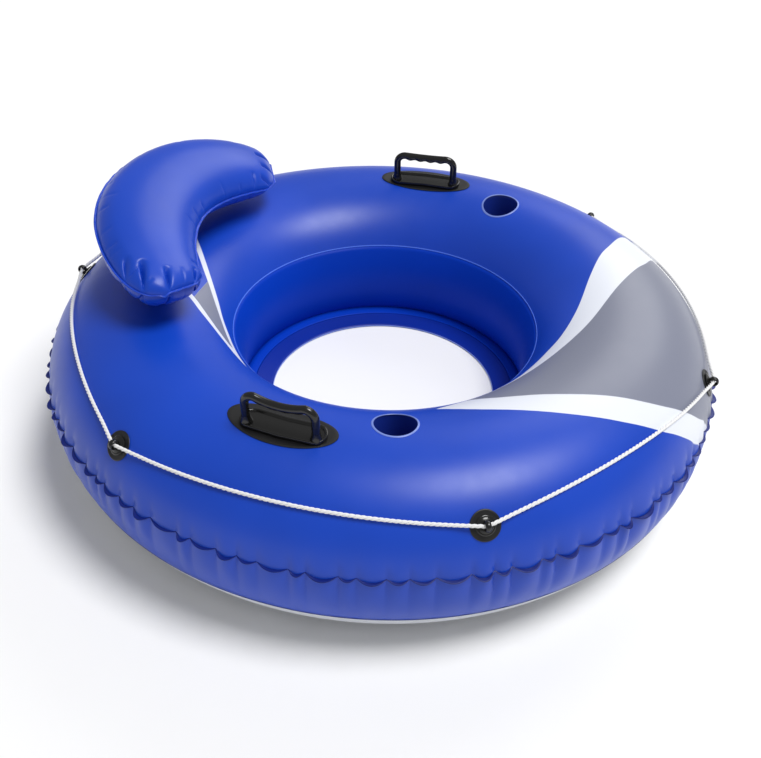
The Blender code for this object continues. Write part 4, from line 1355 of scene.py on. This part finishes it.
@dataclass
class RopeLine:
    """The six eyes, the rope laced through them and the knot that closes it."""

    eyes: tuple[tuple[float, float], ...] = ((-175.5, 34.0), (-120.25, 36.5), (-58.0, 36.0), (1.0, 27.0),
                                             (59.0, 33.0), (118.0, 31.0))
    rises: tuple[float, ...] = (12.5, 8.6, 14.3, 9.0, 9.0, 9.5)
    mean_section: float = 36.5
    patch: Points = (
        (0.00536, 0.0), (0.01608, 0.0), (0.0264, 0.0), (0.0268, 0.0005), (0.0262, 0.0012), (0.024924, 0.0016),
        (0.023852, 0.0012), (0.01608, 0.0012), (0.00536, 0.0012))
    patch_lift: float = 0.0008
    eye_lift: float = 0.0023
    dome: Points = (
        (0.004, 0.0), (0.0172, 0.0), (0.0175, 0.0007), (0.0165, 0.0016), (0.0150, 0.0020), (0.0140, 0.0019),
        (0.0128, 0.0026), (0.0100, 0.0037), (0.0070, 0.0043), (0.003, 0.0045))
    neck: Points = ((0.003, 0.0020), (0.0095, 0.0026), (0.0072, 0.0040), (0.0056, 0.0054), (0.002, 0.0056))
    loop: tuple[float, float] = (0.0072, 0.0026)
    loop_height: float = 0.0100
    loop_stretch: float = 1.9
    radius: float = 0.0034
    off_skin: float = 0.0014
    fall: float = 0.040
    step: float = 0.0032
    lay: float = 0.028
    strand_count: int = 3
    strand_swell: float = 1.08
    coarse_steps: int = 1440
    knot_theta: float = 145.0
    knot_half: float = 0.012
    knot_tuck: float = 0.004
    knot_lift: float = 0.0100
    knot_fall: float = 0.030
    knot_turns: tuple[Corner, ...] = ((0.0048, -0.0058, 14.0), (0.0052, 0.0, -12.0), (0.0048, 0.0058, 16.0))
    knot_rod: float = 0.0031
    knot_grid: tuple[int, int] = (40, 14)
    core_steps: int = 24
    loop_grid: tuple[int, int] = (48, 20)
    neck_steps: int = 32
    knot_core: Points = ((0.0015, -0.0112), (0.0036, -0.0108), (0.0042, 0.0), (0.0036, 0.0108),
                         (0.0015, 0.0112))

    def place(self, theta: float) -> Vector:
        """Centre of the rope at an angle round the ring: high at the eyes and knot, low between them.

        Args:
            theta: The angle.

        Returns:
            The place.
        """
        before, start, rise = min(((theta - angle) % 360.0, section, rise)
                                  for (angle, section), rise in zip(self.eyes, self.rises))
        after, end = min(((angle - theta) % 360.0, section) for angle, section in self.eyes)
        span = before + after
        share = before / span if span > 0.0 else 0.0
        section = start + (end - start) * share + rise * (1.0 - (2.0 * share - 1.0) ** 2)
        to_metres = math.radians(1.0) * (FORM.centre_radius + FORM.offset(self.mean_section)[0])
        from_eye = min(share, 1.0 - share) * span * to_metres
        low, high = self.radius + self.off_skin, self.eye_lift + self.loop_height
        lift = low + (high - low) * math.exp(-(from_eye / self.fall) ** 2)
        from_knot = abs((theta - self.knot_theta + 180.0) % 360.0 - 180.0) * to_metres
        lift += max(self.knot_lift - lift, 0.0) * math.exp(-(from_knot / self.knot_fall) ** 2)
        return FORM.frame(theta, section, lift).translation

    def centre_line(self) -> list[Vector]:
        """The rope's centre line, from one side of the knot round to the other.

        Returns:
            Its points, evenly spaced.
        """
        coarse = [self.place(self.knot_theta + 360.0 * number / self.coarse_steps)
                  for number in range(self.coarse_steps + 1)]
        run = [0.0]
        for before, after in zip(coarse, coarse[1:]):
            run.append(run[-1] + (after - before).length)
        first = self.knot_half - self.knot_tuck
        last = run[-1] - first
        count = int((last - first) / self.step)
        line, number = [], 0
        for station in range(count + 1):
            aim = first + (last - first) * station / count
            while run[number + 1] < aim:
                number += 1
            share = (aim - run[number]) / (run[number + 1] - run[number])
            line.append(coarse[number].lerp(coarse[number + 1], share))
        LOG.info("grab rope: %.3f m along its route", last - first)
        return line

    def strands(self) -> Piece:
        """The rope's strands, laid round each other.

        Returns:
            The rope.
        """
        line = self.centre_line()
        thin = self.radius / (1.0 + 2.0 / math.sqrt(3.0))
        out = self.radius - thin
        strands = []
        for strand in range(self.strand_count):
            points = []
            for number, spot in enumerate(line):
                before, after = line[max(number - 1, 0)], line[min(number + 1, len(line) - 1)]
                along = (after - before).normalized()
                side = along.cross(Vector((0.0, 0.0, 1.0))).normalized()
                up = side.cross(along)
                turn = math.tau * (number * self.step / self.lay + strand / self.strand_count)
                points.append(spot + out * (side * math.cos(turn) + up * math.sin(turn)))
            strands.append(cord_mesh("rope_strand", points, self.strand_swell * thin))
        return joined("twisted_grab_rope", strands)

    def knot(self) -> Piece:
        """The overhand knot that closes the rope: a bead of wound turns.

        Returns:
            The knot, in its place.
        """
        turns = [ring_of_rod("knot_turn", (radius, self.knot_rod), self.knot_grid, (tilt, 0.5 * tilt), along)
                 for radius, along, tilt in self.knot_turns]
        whole = joined("grab_rope_knot", [turned("knot_core", self.knot_core, self.core_steps)] + turns)
        heading = (self.place(self.knot_theta + 0.5) - self.place(self.knot_theta - 0.5)).normalized()
        matrix = heading.to_track_quat("Z", "Y").to_matrix().to_4x4()
        matrix.translation = self.place(self.knot_theta)
        return smooth(settle(whole, matrix), SHARPEST)

    def eye(self) -> Piece:
        """One moulded eye: a dome, a neck and a thick loop across the rope.

        Returns:
            The eye, standing on the origin.
        """
        dome = turned("eye_dome", self.dome, COARSE_TURN)
        loop = ring_of_rod("eye_loop", self.loop, self.loop_grid, (0.0, 90.0))
        loop.data.transform(Matrix.Diagonal((self.loop_stretch, 1.0, 1.0, 1.0)))
        neck = turned("eye_neck", self.neck, self.neck_steps)
        return smooth(joined("rope_eye_master", [dome, shifted(loop, z=self.loop_height), neck]), SHARPER)

    def make(self) -> None:
        """Make and dress the rope, its knot and its eyes."""
        dress(self.strands(), ROPE, Body.ROOT, "grab_rope")
        dress(self.knot(), ROPE, Body.ROOT, "rope_knot")
        patch, eye = turned("patch_master", self.patch, MIDDLE_TURN), self.eye()
        for number, (theta, section) in enumerate(self.eyes, 1):
            disc = copied(patch, "eye_patch_%d" % number, Matrix.Translation((0.0, 0.0, self.patch_lift)))
            dress(FORM.drape(disc, theta, section), BLACK_VINYL, Body.ROOT, "rope_patch_%d" % number)
            twin = copied(eye, "moulded_eye_%d" % number, FORM.frame(theta, section, self.eye_lift))
            dress(twin, BLACK_PLASTIC, Body.ROOT, "rope_eye_%d" % number)
        for master in (patch, eye):
            bpy.data.objects.remove(master, do_unlink=True)


# Headrest


@dataclass(frozen=True)
class Crease:
    """A crease that runs into the cushion from its weld, wider and fainter as it goes."""

    foot: Vector
    inward: Vector
    reach: float
    depth: float
    behind: float = 0.02
    half_width: float = 0.0024
    widening: float = 0.045
    fade_power: float = 3.0
    edge_power: float = 1.3

    def taken(self, spot: Vector) -> float:
        """Share of the crown that the crease takes away.

        Args:
            spot: A place in the weld plane.

        Returns:
            The share, 0 past the crease's end.
        """
        apart = spot - self.foot
        inside = apart.dot(self.inward)
        if not -self.behind < inside < self.reach:
            return 0.0
        beside = (apart - self.inward * inside).length
        inside = max(inside, 0.0)
        fade = 1.0 - (inside / self.reach) ** self.fade_power
        width = self.half_width + self.widening * inside
        return self.depth * fade * math.exp(-(beside / width) ** self.edge_power)


@dataclass
class CreaseLayout:
    """Where the cushion's creases lie: fine ones along its sides and deep ones at its tips.

    A row of sides gives across, the creases' pitch and reach. A row of tips gives along and across of a
    crease's foot, and then of its top. The faint one among the tips is known by its number.
    """

    sides: tuple[Corner, ...] = ((-1.0, 0.052, 0.020), (1.0, 0.046, 0.022))
    side_share: float = 0.95
    side_shortening: float = 0.1
    scatter: float = 0.35
    lean: float = 0.05
    reach_range: tuple[float, float] = (0.6, 1.5)
    depth_range: tuple[float, float] = (0.08, 0.26)
    tips: tuple[tuple[float, float, float, float], ...] = (
        (-0.81, 1.00, -0.73, 0.83), (-0.88, 0.82, -0.79, 0.60), (-0.99, 0.62, -0.88, 0.18),
        (-0.99, -0.22, -0.90, -0.26), (-0.99, -0.85, -0.90, -0.70),
        (0.84, 0.95, 0.77, 0.78), (0.97, 0.40, 0.88, 0.22), (0.98, -0.36, 0.89, -0.30),
        (0.94, -0.95, 0.86, -0.76))
    tip_stretch: float = 1.25
    tip_depth_range: tuple[float, float] = (0.58, 0.70)
    faint_tip: int = 3
    faint_depth: float = 0.12
    seed: int = 5

    def lay_out(self, outline: Place, length: float) -> list[Crease]:
        """Lay out the creases.

        Args:
            outline: Gives a place in the weld plane from its along and across.
            length: Half the cushion's length on its middle line.

        Returns:
            The creases.
        """
        draw = random.Random(self.seed)
        creases = []
        for across, pitch, reach in self.sides:
            count = int(2.0 * (length + self.side_shortening * across) / pitch)
            for number in range(count):
                share = (number + 0.5 + draw.uniform(-self.scatter, self.scatter)) / count
                along = self.side_share * (2.0 * share - 1.0)
                foot = outline(along, across)
                inward = (outline(along + draw.uniform(-self.lean, self.lean), 0.0) - foot).normalized()
                creases.append(Crease(foot, inward, reach * draw.uniform(*self.reach_range),
                                      draw.uniform(*self.depth_range)))
        for number, (along, across, to_along, to_across) in enumerate(self.tips):
            foot, top = outline(along, across), outline(to_along, to_across)
            depth = self.faint_depth if number == self.faint_tip else draw.uniform(*self.tip_depth_range)
            reach = self.tip_stretch * (top - foot).length
            creases.append(Crease(foot, (top - foot).normalized(), reach, depth))
        return creases


@dataclass
class Headrest:
    """The crescent cushion of two welded sheets, its web and the strip that welds it to the crest."""

    middle: Corner = (0.0, 0.485 + FORM.axis_y, 0.4715)
    pitch: float = 20.0
    turn: float = 2.9
    arc_radius: float = 0.299
    half_angle: float = 62.2
    width: float = 0.198
    tip_width: float = 0.118
    corner: float = 0.036
    corner_narrowing: float = 0.36
    corner_power: float = 2.4
    taper_power: float = 3.0
    side_powers: tuple[float, float] = (2.4, 0.55)
    end_powers: tuple[float, float] = (9.0, 0.5)
    fullness_power: float = 0.7
    rise: float = 0.048
    drop: float = 0.068
    half_gap: float = 0.0004
    deepest_crease: float = 0.74
    margin: float = 0.0046
    margin_wave: float = 0.0012
    margin_wave_pitch: float = 170.0
    sink: float = 0.0060
    sink_start: float = 0.7
    tip_start: float = 0.72
    tip_lift: float = 0.018
    tip_depth: float = 0.030
    tip_bulge: float = 0.010
    tip_bulge_end: float = 0.8
    tip_draw: float = 0.3
    columns: int = 236
    rows: int = 88
    margin_rows: int = 3
    tip_crowding: float = 0.85
    bead_tip_steps: int = 40
    bead_radius: float = 0.0009
    valve_place: tuple[float, float] = (0.30, 0.62)
    valve_gap: float = 0.00055
    valve_slope_step: float = 0.01
    underside_reach: float = 0.9
    underside_rounds: int = 24
    web_y: float = 0.4660 + FORM.axis_y
    web_half: float = 0.100
    web_foot: float = 0.0024
    web_sink: float = 0.0020
    web_thickness: float = 0.0008
    web_grid: tuple[int, int] = (24, 6)
    crest_band: float = 0.010
    strip: Points = ((0.0045, 0.0), (0.0146, 0.0), (0.015, 0.0004), (0.0145, 0.0010), (0.0045, 0.0010))
    strip_lift: float = 0.0008
    layout: CreaseLayout = field(default_factory=CreaseLayout)

    @cached_property
    def frame(self) -> Matrix:
        """The cushion's frame: X across the ring, Y towards the back, Z out of its weld plane."""
        turn = Matrix.Rotation(math.radians(self.turn), 4, "Z")
        return Matrix.Translation(self.middle) @ turn @ Matrix.Rotation(math.radians(self.pitch), 4, "X")

    @property
    def half_length(self) -> float:
        """Half the cushion's length on its middle line."""
        return self.arc_radius * math.radians(self.half_angle)

    @property
    def over_one(self) -> float:
        """How far past 1 the weld margin's outer edge lies."""
        return 2.0 * self.margin_rows / self.rows

    @cached_property
    def creases(self) -> list[Crease]:
        """The creases that run inwards from the weld."""
        return self.layout.lay_out(self.outline, self.half_length)

    def half_width(self, along: float) -> float:
        """Half the cushion's width.

        Args:
            along: Share of its length from the middle, -1 to 1.

        Returns:
            Half the width there.
        """
        taper = self.width + (self.tip_width - self.width) * abs(along) ** self.taper_power
        near = max(1.0 - (1.0 - abs(along)) * self.half_length / self.corner, 0.0)
        return 0.5 * taper * (1.0 - self.corner_narrowing * near ** self.corner_power)

    def outline(self, along: float, across: float) -> Vector:
        """A place in the weld plane.

        Args:
            along: From tip to tip, -1 to 1.
            across: From front to back, -1 to 1.

        Returns:
            The place in the cushion's frame.
        """
        angle = math.radians(self.half_angle) * along
        radius = self.arc_radius + self.half_width(along) * across
        return Vector((radius * math.sin(angle), radius * math.cos(angle) - self.arc_radius, 0.0))

    def crown(self, along: float, across: float, height: float) -> float:
        """How far the skin stands off the weld plane.

        Args:
            along: From tip to tip, -1 to 1.
            across: From front to back, -1 to 1.
            height: The crown's height at its fullest.

        Returns:
            The distance.
        """
        fullness = (2.0 * self.half_width(along) / self.width) ** self.fullness_power
        inner, outer = self.side_powers
        side = max(1.0 - abs(across) ** inner, 0.0) ** outer
        inner, outer = self.end_powers
        tip = max(1.0 - abs(along) ** inner, 0.0) ** outer
        return height * fullness * side * tip

    def point(self, along: float, across: float, side: int, creased: bool = True) -> Vector:
        """A place on the cushion. Past 1 it lies on the weld margin.

        Args:
            along: From tip to tip, -1 to 1.
            across: From front to back, -1 to 1.
            side: 1 for the upper skin and -1 for the lower.
            creased: Whether the creases are pressed in.

        Returns:
            The place.
        """
        inside_along = max(-1.0, min(1.0, along))
        inside_across = max(-1.0, min(1.0, across))
        spot = self.outline(inside_along, inside_across)
        taken = sum(crease.taken(spot) for crease in self.creases) if creased else 0.0
        angle = math.radians(self.half_angle) * inside_along
        out = Vector((0.0, 0.0, 0.0))
        if abs(along) > 1.0:
            out += Vector((math.cos(angle), -math.sin(angle), 0.0)) * math.copysign(1.0, along)
        if abs(across) > 1.0:
            out += Vector((math.sin(angle), math.cos(angle), 0.0)) * math.copysign(1.0, across)
        on_margin = (max(abs(along), abs(across), 1.0) - 1.0) / self.over_one
        if out.length > 0.0:
            spot += out.normalized() * self.margin * on_margin
        crown = self.crown(inside_along, inside_across, self.rise if side > 0 else self.drop)
        crown *= 1.0 - min(taken, self.deepest_crease)
        spot.z = side * (self.half_gap + crown)
        near = max((-inside_along - self.tip_start) / (1.0 - self.tip_start), 0.0) ** 2
        depth = min(crown / self.tip_depth, 1.0) if side < 0 else 0.0
        spot.z += self.tip_lift * near * (1.0 - depth)
        bulge = self.tip_bulge * math.sin(math.pi * min(depth, self.tip_bulge_end))
        outward = Vector((-math.cos(angle), math.sin(angle), 0.0))
        spot += outward * near * (bulge - self.tip_draw * self.tip_lift)
        wave = math.sin(self.margin_wave_pitch * (spot.x - spot.y))
        spot.z += self.margin_wave * wave * min(on_margin, 1.0)
        spot.z -= self.sink * (max(inside_across - self.sink_start, 0.0) / (1.0 - self.sink_start)) ** 2
        return self.frame @ spot

    def stretch(self, value: float, inner: int) -> float:
        """Where a grid line of a skin lies.

        Args:
            value: The line's place on the flat grid, from -1 to 1.
            inner: Faces inside the weld margin.

        Returns:
            Its place on the skin, from -1 to 1, and a little past it on the margin.
        """
        grown = 1.0 + 2.0 * self.margin_rows / inner
        place = value * grown
        if abs(place) <= 1.0:
            return place
        return math.copysign(1.0 + (abs(place) - 1.0) / (grown - 1.0) * self.over_one, place)

    def skin(self, name: str, side: int) -> Piece:
        """One welded sheet of the cushion, with its weld margin.

        Args:
            name: The piece's name.
            side: 1 for the upper sheet and -1 for the lower.

        Returns:
            The sheet.
        """
        def place(x: float, y: float) -> Vector:
            """Carry a point of the flat sheet onto the cushion.

            Args:
                x: From tip to tip, -1 to 1.
                y: From front to back, -1 to 1.

            Returns:
                The place.
            """
            along, across = self.stretch(x, self.columns), self.stretch(y, self.rows)
            if abs(along) <= 1.0:
                along = math.copysign(abs(along) ** self.tip_crowding, along)
            if abs(across) <= 1.0:
                across = math.sin(0.5 * math.pi * across)
            return self.point(along, across, side)

        return bent_sheet(name, self.columns + 2 * self.margin_rows, self.rows + 2 * self.margin_rows, place)

    @property
    def valve_frame(self) -> Matrix:
        """Where the cushion's valve sits, on the lower skin towards the back.

        Returns:
            Its frame, with Z out of the skin.
        """
        small, (along, across) = self.valve_slope_step, self.valve_place
        spot, ahead, back, right, left = [
            self.point(along + by_along, across + by_across, -1, False)
            for by_along, by_across in ((0.0, 0.0), (small, 0.0), (-small, 0.0), (0.0, small), (0.0, -small))]
        normal = (right - left).cross(ahead - back).normalized()
        side = Vector((1.0, 0.0, 0.0))
        side = (side - normal * side.dot(normal)).normalized()
        matrix = Matrix((side, normal.cross(side), normal)).transposed().to_4x4()
        matrix.translation = spot + normal * self.valve_gap
        return matrix

    def underside(self, x: float, y: float) -> float:
        """Height of the cushion's underside over a point of the ring, found by halving.

        Args:
            x: The point's X.
            y: The point's Y.

        Returns:
            The height.
        """
        along = math.degrees(math.asin(x / self.arc_radius)) / self.half_angle
        low, high = -self.underside_reach, self.underside_reach
        for _ in range(self.underside_rounds):
            across = 0.5 * (low + high)
            spot = self.point(along, across, -1, False)
            along += (x - spot.x) / self.half_length
            low, high = (across, high) if spot.y < y else (low, across)
        return self.point(along, 0.5 * (low + high), -1, False).z

    def weld_path(self) -> list[Vector]:
        """The line of the weld's bead, in the middle of the margin.

        Returns:
            Its points, all the way round.
        """
        steps, short = ([2.0 * number / count - 1.0 for number in range(count)]
                        for count in (self.columns, self.bead_tip_steps))
        past = 1.0 + 0.5 * self.over_one
        path = [(along, past) for along in steps] + [(past, -across) for across in short]
        path += [(-along, -past) for along in steps] + [(-past, across) for across in short]
        return [self.point(along, across, 1) for along, across in path]

    def make(self) -> None:
        """Make and dress the cushion, its web and its strip."""
        upper, lower = self.skin("headrest_upper", 1), self.skin("headrest_lower", -1)
        edit(lower, lambda: bpy.ops.mesh.flip_normals())
        cushion = joined("headrest_cushion", [thicken(upper), thicken(lower)])
        dress(cushion, BLUE, Body.HEADREST, "headrest_upper_skin", "headrest_lower_skin")
        bead = cord_mesh("headrest_weld_bead", self.weld_path(), self.bead_radius)
        # The bead's lighter blue is a painted highlight.
        dress(bead, HIGHLIT_BEAD_BLUE, Body.HEADREST)

        near = (-self.crest_band, 0.0, self.crest_band)
        crest = max(FORM.height(0.0, self.web_y + offset) for offset in near)
        foot = crest + self.web_foot

        def web_place(x: float, y: float) -> Vector:
            """Carry a point of the flat sheet onto the web."""
            top = self.underside(self.web_half * x, self.web_y) - self.web_sink
            return Vector((self.web_half * x, self.web_y, foot + (top - foot) * 0.5 * (y + 1.0)))

        web = thicken(bent_sheet("headrest_web_sheet", *self.web_grid, web_place), self.web_thickness, 0.0)
        dress(web, BLUE, Body.HEADREST, "headrest_web")
        strip = stretched(turned("headrest_weld_strip", self.strip, COARSE_TURN), self.web_half)
        # The strip takes the flange's dark blue of painted shade.
        shifted(strip, y=self.web_y, z=crest + self.strip_lift)
        dress(face_out(strip), SHADED_EDGE_BLUE, Body.ROOT, "headrest_strip")


# Valves


@dataclass
class AirValve:
    """An air valve: a welded base, a stem that pushes in, a hinged cap with its plug, and a one-way flap.

    Its profiles and lugs are those of the full-size valve. The flap's thickness is the same at any scale.
    """

    name: str
    frame: Matrix
    scale: float
    base_body: str
    base: Points = (
        (0.0094, 0.0010), (0.0117, 0.0012), (0.0135, 0.0010), (0.0162, 0.0010), (0.0171, 0.0013),
        (0.0180, 0.0010), (0.0215, 0.0009), (0.0225, 0.0003), (0.0225, 0.0), (0.0105, 0.0), (0.0105, -0.0120),
        (0.0094, -0.0120))
    stem: Points = (
        (0.0053, 0.0024), (0.0056, 0.0026), (0.0099, 0.0026), (0.0102, 0.0023), (0.0102, 0.0015),
        (0.0100, 0.0013), (0.0090, 0.0013), (0.0090, -0.0156), (0.0086, -0.0160), (0.0053, -0.0160))
    stem_end: float = -0.0160
    ear: tuple[Corner, Corner] = ((0.0090, -0.0022, 0.0014), (0.0120, 0.0022, 0.0025))
    lid: Points = (
        (0.0012, 0.0042), (0.0051, 0.0042), (0.005712, 0.0047), (0.0094, 0.0047), (0.0100, 0.0044),
        (0.0102, 0.0039), (0.0102, 0.0030), (0.0101, 0.0029), (0.0046, 0.0029), (0.0032, 0.0003),
        (0.0012, 0.0003))
    arm: tuple[Corner, Corner] = ((0.0094, -0.0022, 0.0030), (0.0124, 0.0022, 0.0042))
    pull: tuple[Corner, Corner] = ((-0.0135, -0.0022, 0.0030), (-0.0094, 0.0022, 0.0042))
    lug_ease: float = 0.0004
    flap: Points = ((0.0008, 0.0), (0.0034, 0.0), (0.0066, 0.0), (0.0068, 0.3), (0.0068, 0.8), (0.0066, 1.0),
                    (0.0008, 1.0))
    flap_gap: float = 0.0003
    flap_thickness: float = 0.0008
    steps: int = MIDDLE_TURN

    def shaped(self, suffix: str, profile: Points, closed: bool = False) -> Piece:
        """A turned piece of the valve at the valve's scale, standing on the origin."""
        sized = [(radius * self.scale, height * self.scale) for radius, height in profile]
        return turned("%s_%s" % (self.name, suffix), sized, self.steps, closed)

    def lug(self, low: Corner, high: Corner) -> Piece:
        """A small eased block.

        Args:
            low: Its lowest corner at full size.
            high: Its highest corner at full size.

        Returns:
            The block, at the valve's scale.
        """
        clear_selection()
        middle = [0.5 * (a + b) * self.scale for a, b in zip(low, high)]
        size = [(b - a) * self.scale for a, b in zip(low, high)]
        bpy.ops.mesh.primitive_cube_add(size=1.0, location=middle, scale=size)
        block = named("valve_lug")
        bpy.ops.object.transform_apply(location=False, rotation=False, scale=True)
        return modify(settle(block), "BEVEL", width=self.lug_ease * self.scale, segments=2)

    def fit(self, piece: Piece, finish: Finish, body: str, node: str) -> None:
        """Put a piece in its place and dress it; node ends the name of the CAD node that it stands for."""
        dress(settle(piece, self.frame), finish, body, "%s_%s" % (self.name, node))

    def make(self) -> None:
        """Make and dress the valve's pieces, each on its own body."""
        self.fit(self.shaped("weld_base", self.base, closed=True), BLUE, self.base_body, "base")
        stem = self.shaped("tube", self.stem, closed=True)
        cap = self.shaped("lid", self.lid)
        for piece, lugs, node in ((stem, (self.ear,), "stem"), (cap, (self.arm, self.pull), "cap")):
            whole = joined(piece.name, [piece] + [self.lug(*corners) for corners in lugs])
            self.fit(smooth(whole), CLEAR, "%s_%s" % (self.name, node), node)
        thin, top = self.flap_thickness / self.scale, self.stem_end - self.flap_gap / self.scale
        flap = self.shaped("one_way_flap", [(radius, top - thin * share) for radius, share in self.flap])
        self.fit(flap, CLEAR, self.name + "_flap", "flap")


# Studio


@dataclass(frozen=True)
class Viewpoint:
    """Where the camera stands, and how it looks."""

    place: Corner = (-1.87182, -0.55470, 1.58189)
    heading: float = -71.134
    climb: float = 36.865
    lens: float = 54.6
    sensor: float = 36.0
    shift: float = 0.0557

    def set_up(self) -> None:
        """Put the camera in its place."""
        turn = (math.radians(90.0 - self.climb), 0.0, math.radians(self.heading))
        bpy.ops.object.camera_add(location=self.place, rotation=turn)
        camera = bpy.context.object
        camera.name = "viewpoint"
        camera.data.lens = self.lens
        camera.data.sensor_width = self.sensor
        camera.data.shift_x = self.shift
        bpy.context.scene.camera = camera


@dataclass(frozen=True)
class Lamp:
    """A soft, distant light: its strength, its spread in degrees and where it comes from."""

    name: str
    strength: float
    spread: float
    direction: Corner
    distance: float = 3.0

    def set_up(self) -> None:
        """Hang the lamp."""
        towards = Vector(self.direction).normalized()
        bpy.ops.object.light_add(type="SUN", location=self.distance * towards)
        lamp = bpy.context.object
        lamp.name = self.name
        lamp.data.energy = self.strength
        lamp.data.angle = math.radians(self.spread)
        lamp.rotation_euler = towards.to_track_quat("Z", "Y").to_euler()


@dataclass(frozen=True)
class Studio:
    """A plain pale floor and soft light."""

    floor_size: float = 60.0
    floor_drop: float = 0.0005
    floor_tone: float = 0.93
    floor_roughness: float = 0.9
    floor_unevenness: float = 0.003
    surround: float = 0.34
    lamps: tuple[Lamp, ...] = (
        Lamp("soft_key_light", 2.4, 26.0, (0.0, -0.37, 0.92)),
        Lamp("soft_back_light", 0.60, 30.0, (0.82, -0.14, 0.55)),
    )

    def set_up(self) -> None:
        """Make the floor, the lights and the surround."""
        clear_selection()
        bpy.ops.mesh.primitive_plane_add(size=self.floor_size, location=(0.0, 0.0, -self.floor_drop))
        floor = settle(named("studio_floor"))
        colour = (self.floor_tone,) * 3 + (1.0,)
        paper = Finish("studio_paper", "white_vinyl", colour, self.floor_roughness,
                       tone=self.floor_unevenness, wave_depth=0.0)
        floor.data.materials.append(paper.material)
        world = bpy.data.worlds.new("soft_surround")
        world.use_nodes = True
        background = world.node_tree.nodes["Background"]
        background.inputs["Color"].default_value = (1.0, 1.0, 1.0, 1.0)
        background.inputs["Strength"].default_value = self.surround
        bpy.context.scene.world = world
        for lamp in self.lamps:
            lamp.set_up()
        bpy.context.scene.view_settings.view_transform = "Standard"


def main() -> None:
    """Build the tube piece by piece and the studio round it."""
    logging.basicConfig(level=logging.INFO, format="%(name)s: %(message)s")
    Viewpoint().set_up()
    RopeLine().make()
    skins = RingSkins()
    skins.make()
    WeldEdges(skins).make()
    RingFloor().make()
    for side in Side:
        CupHolder(side).make()
    GrabHandle(Side.LEFT, patch_theta=-94.4, theta=-93.6, patch_shift=-0.018, shift=-0.031, sag=0.0085).make()
    GrabHandle(Side.RIGHT, patch_theta=95.4, theta=95.5, patch_shift=0.0, shift=0.014, sag=0.0010).make()
    headrest = Headrest()
    headrest.make()
    ring_spot = FORM.frame(theta=100.0, section=-9.0, lift=0.0003)
    AirValve("main_valve", ring_spot, scale=1.0, base_body=Body.ROOT).make()
    AirValve("headrest_valve", headrest.valve_frame, scale=0.72, base_body=Body.HEADREST).make()
    Studio().set_up()


if __name__ == "__main__":
    main()
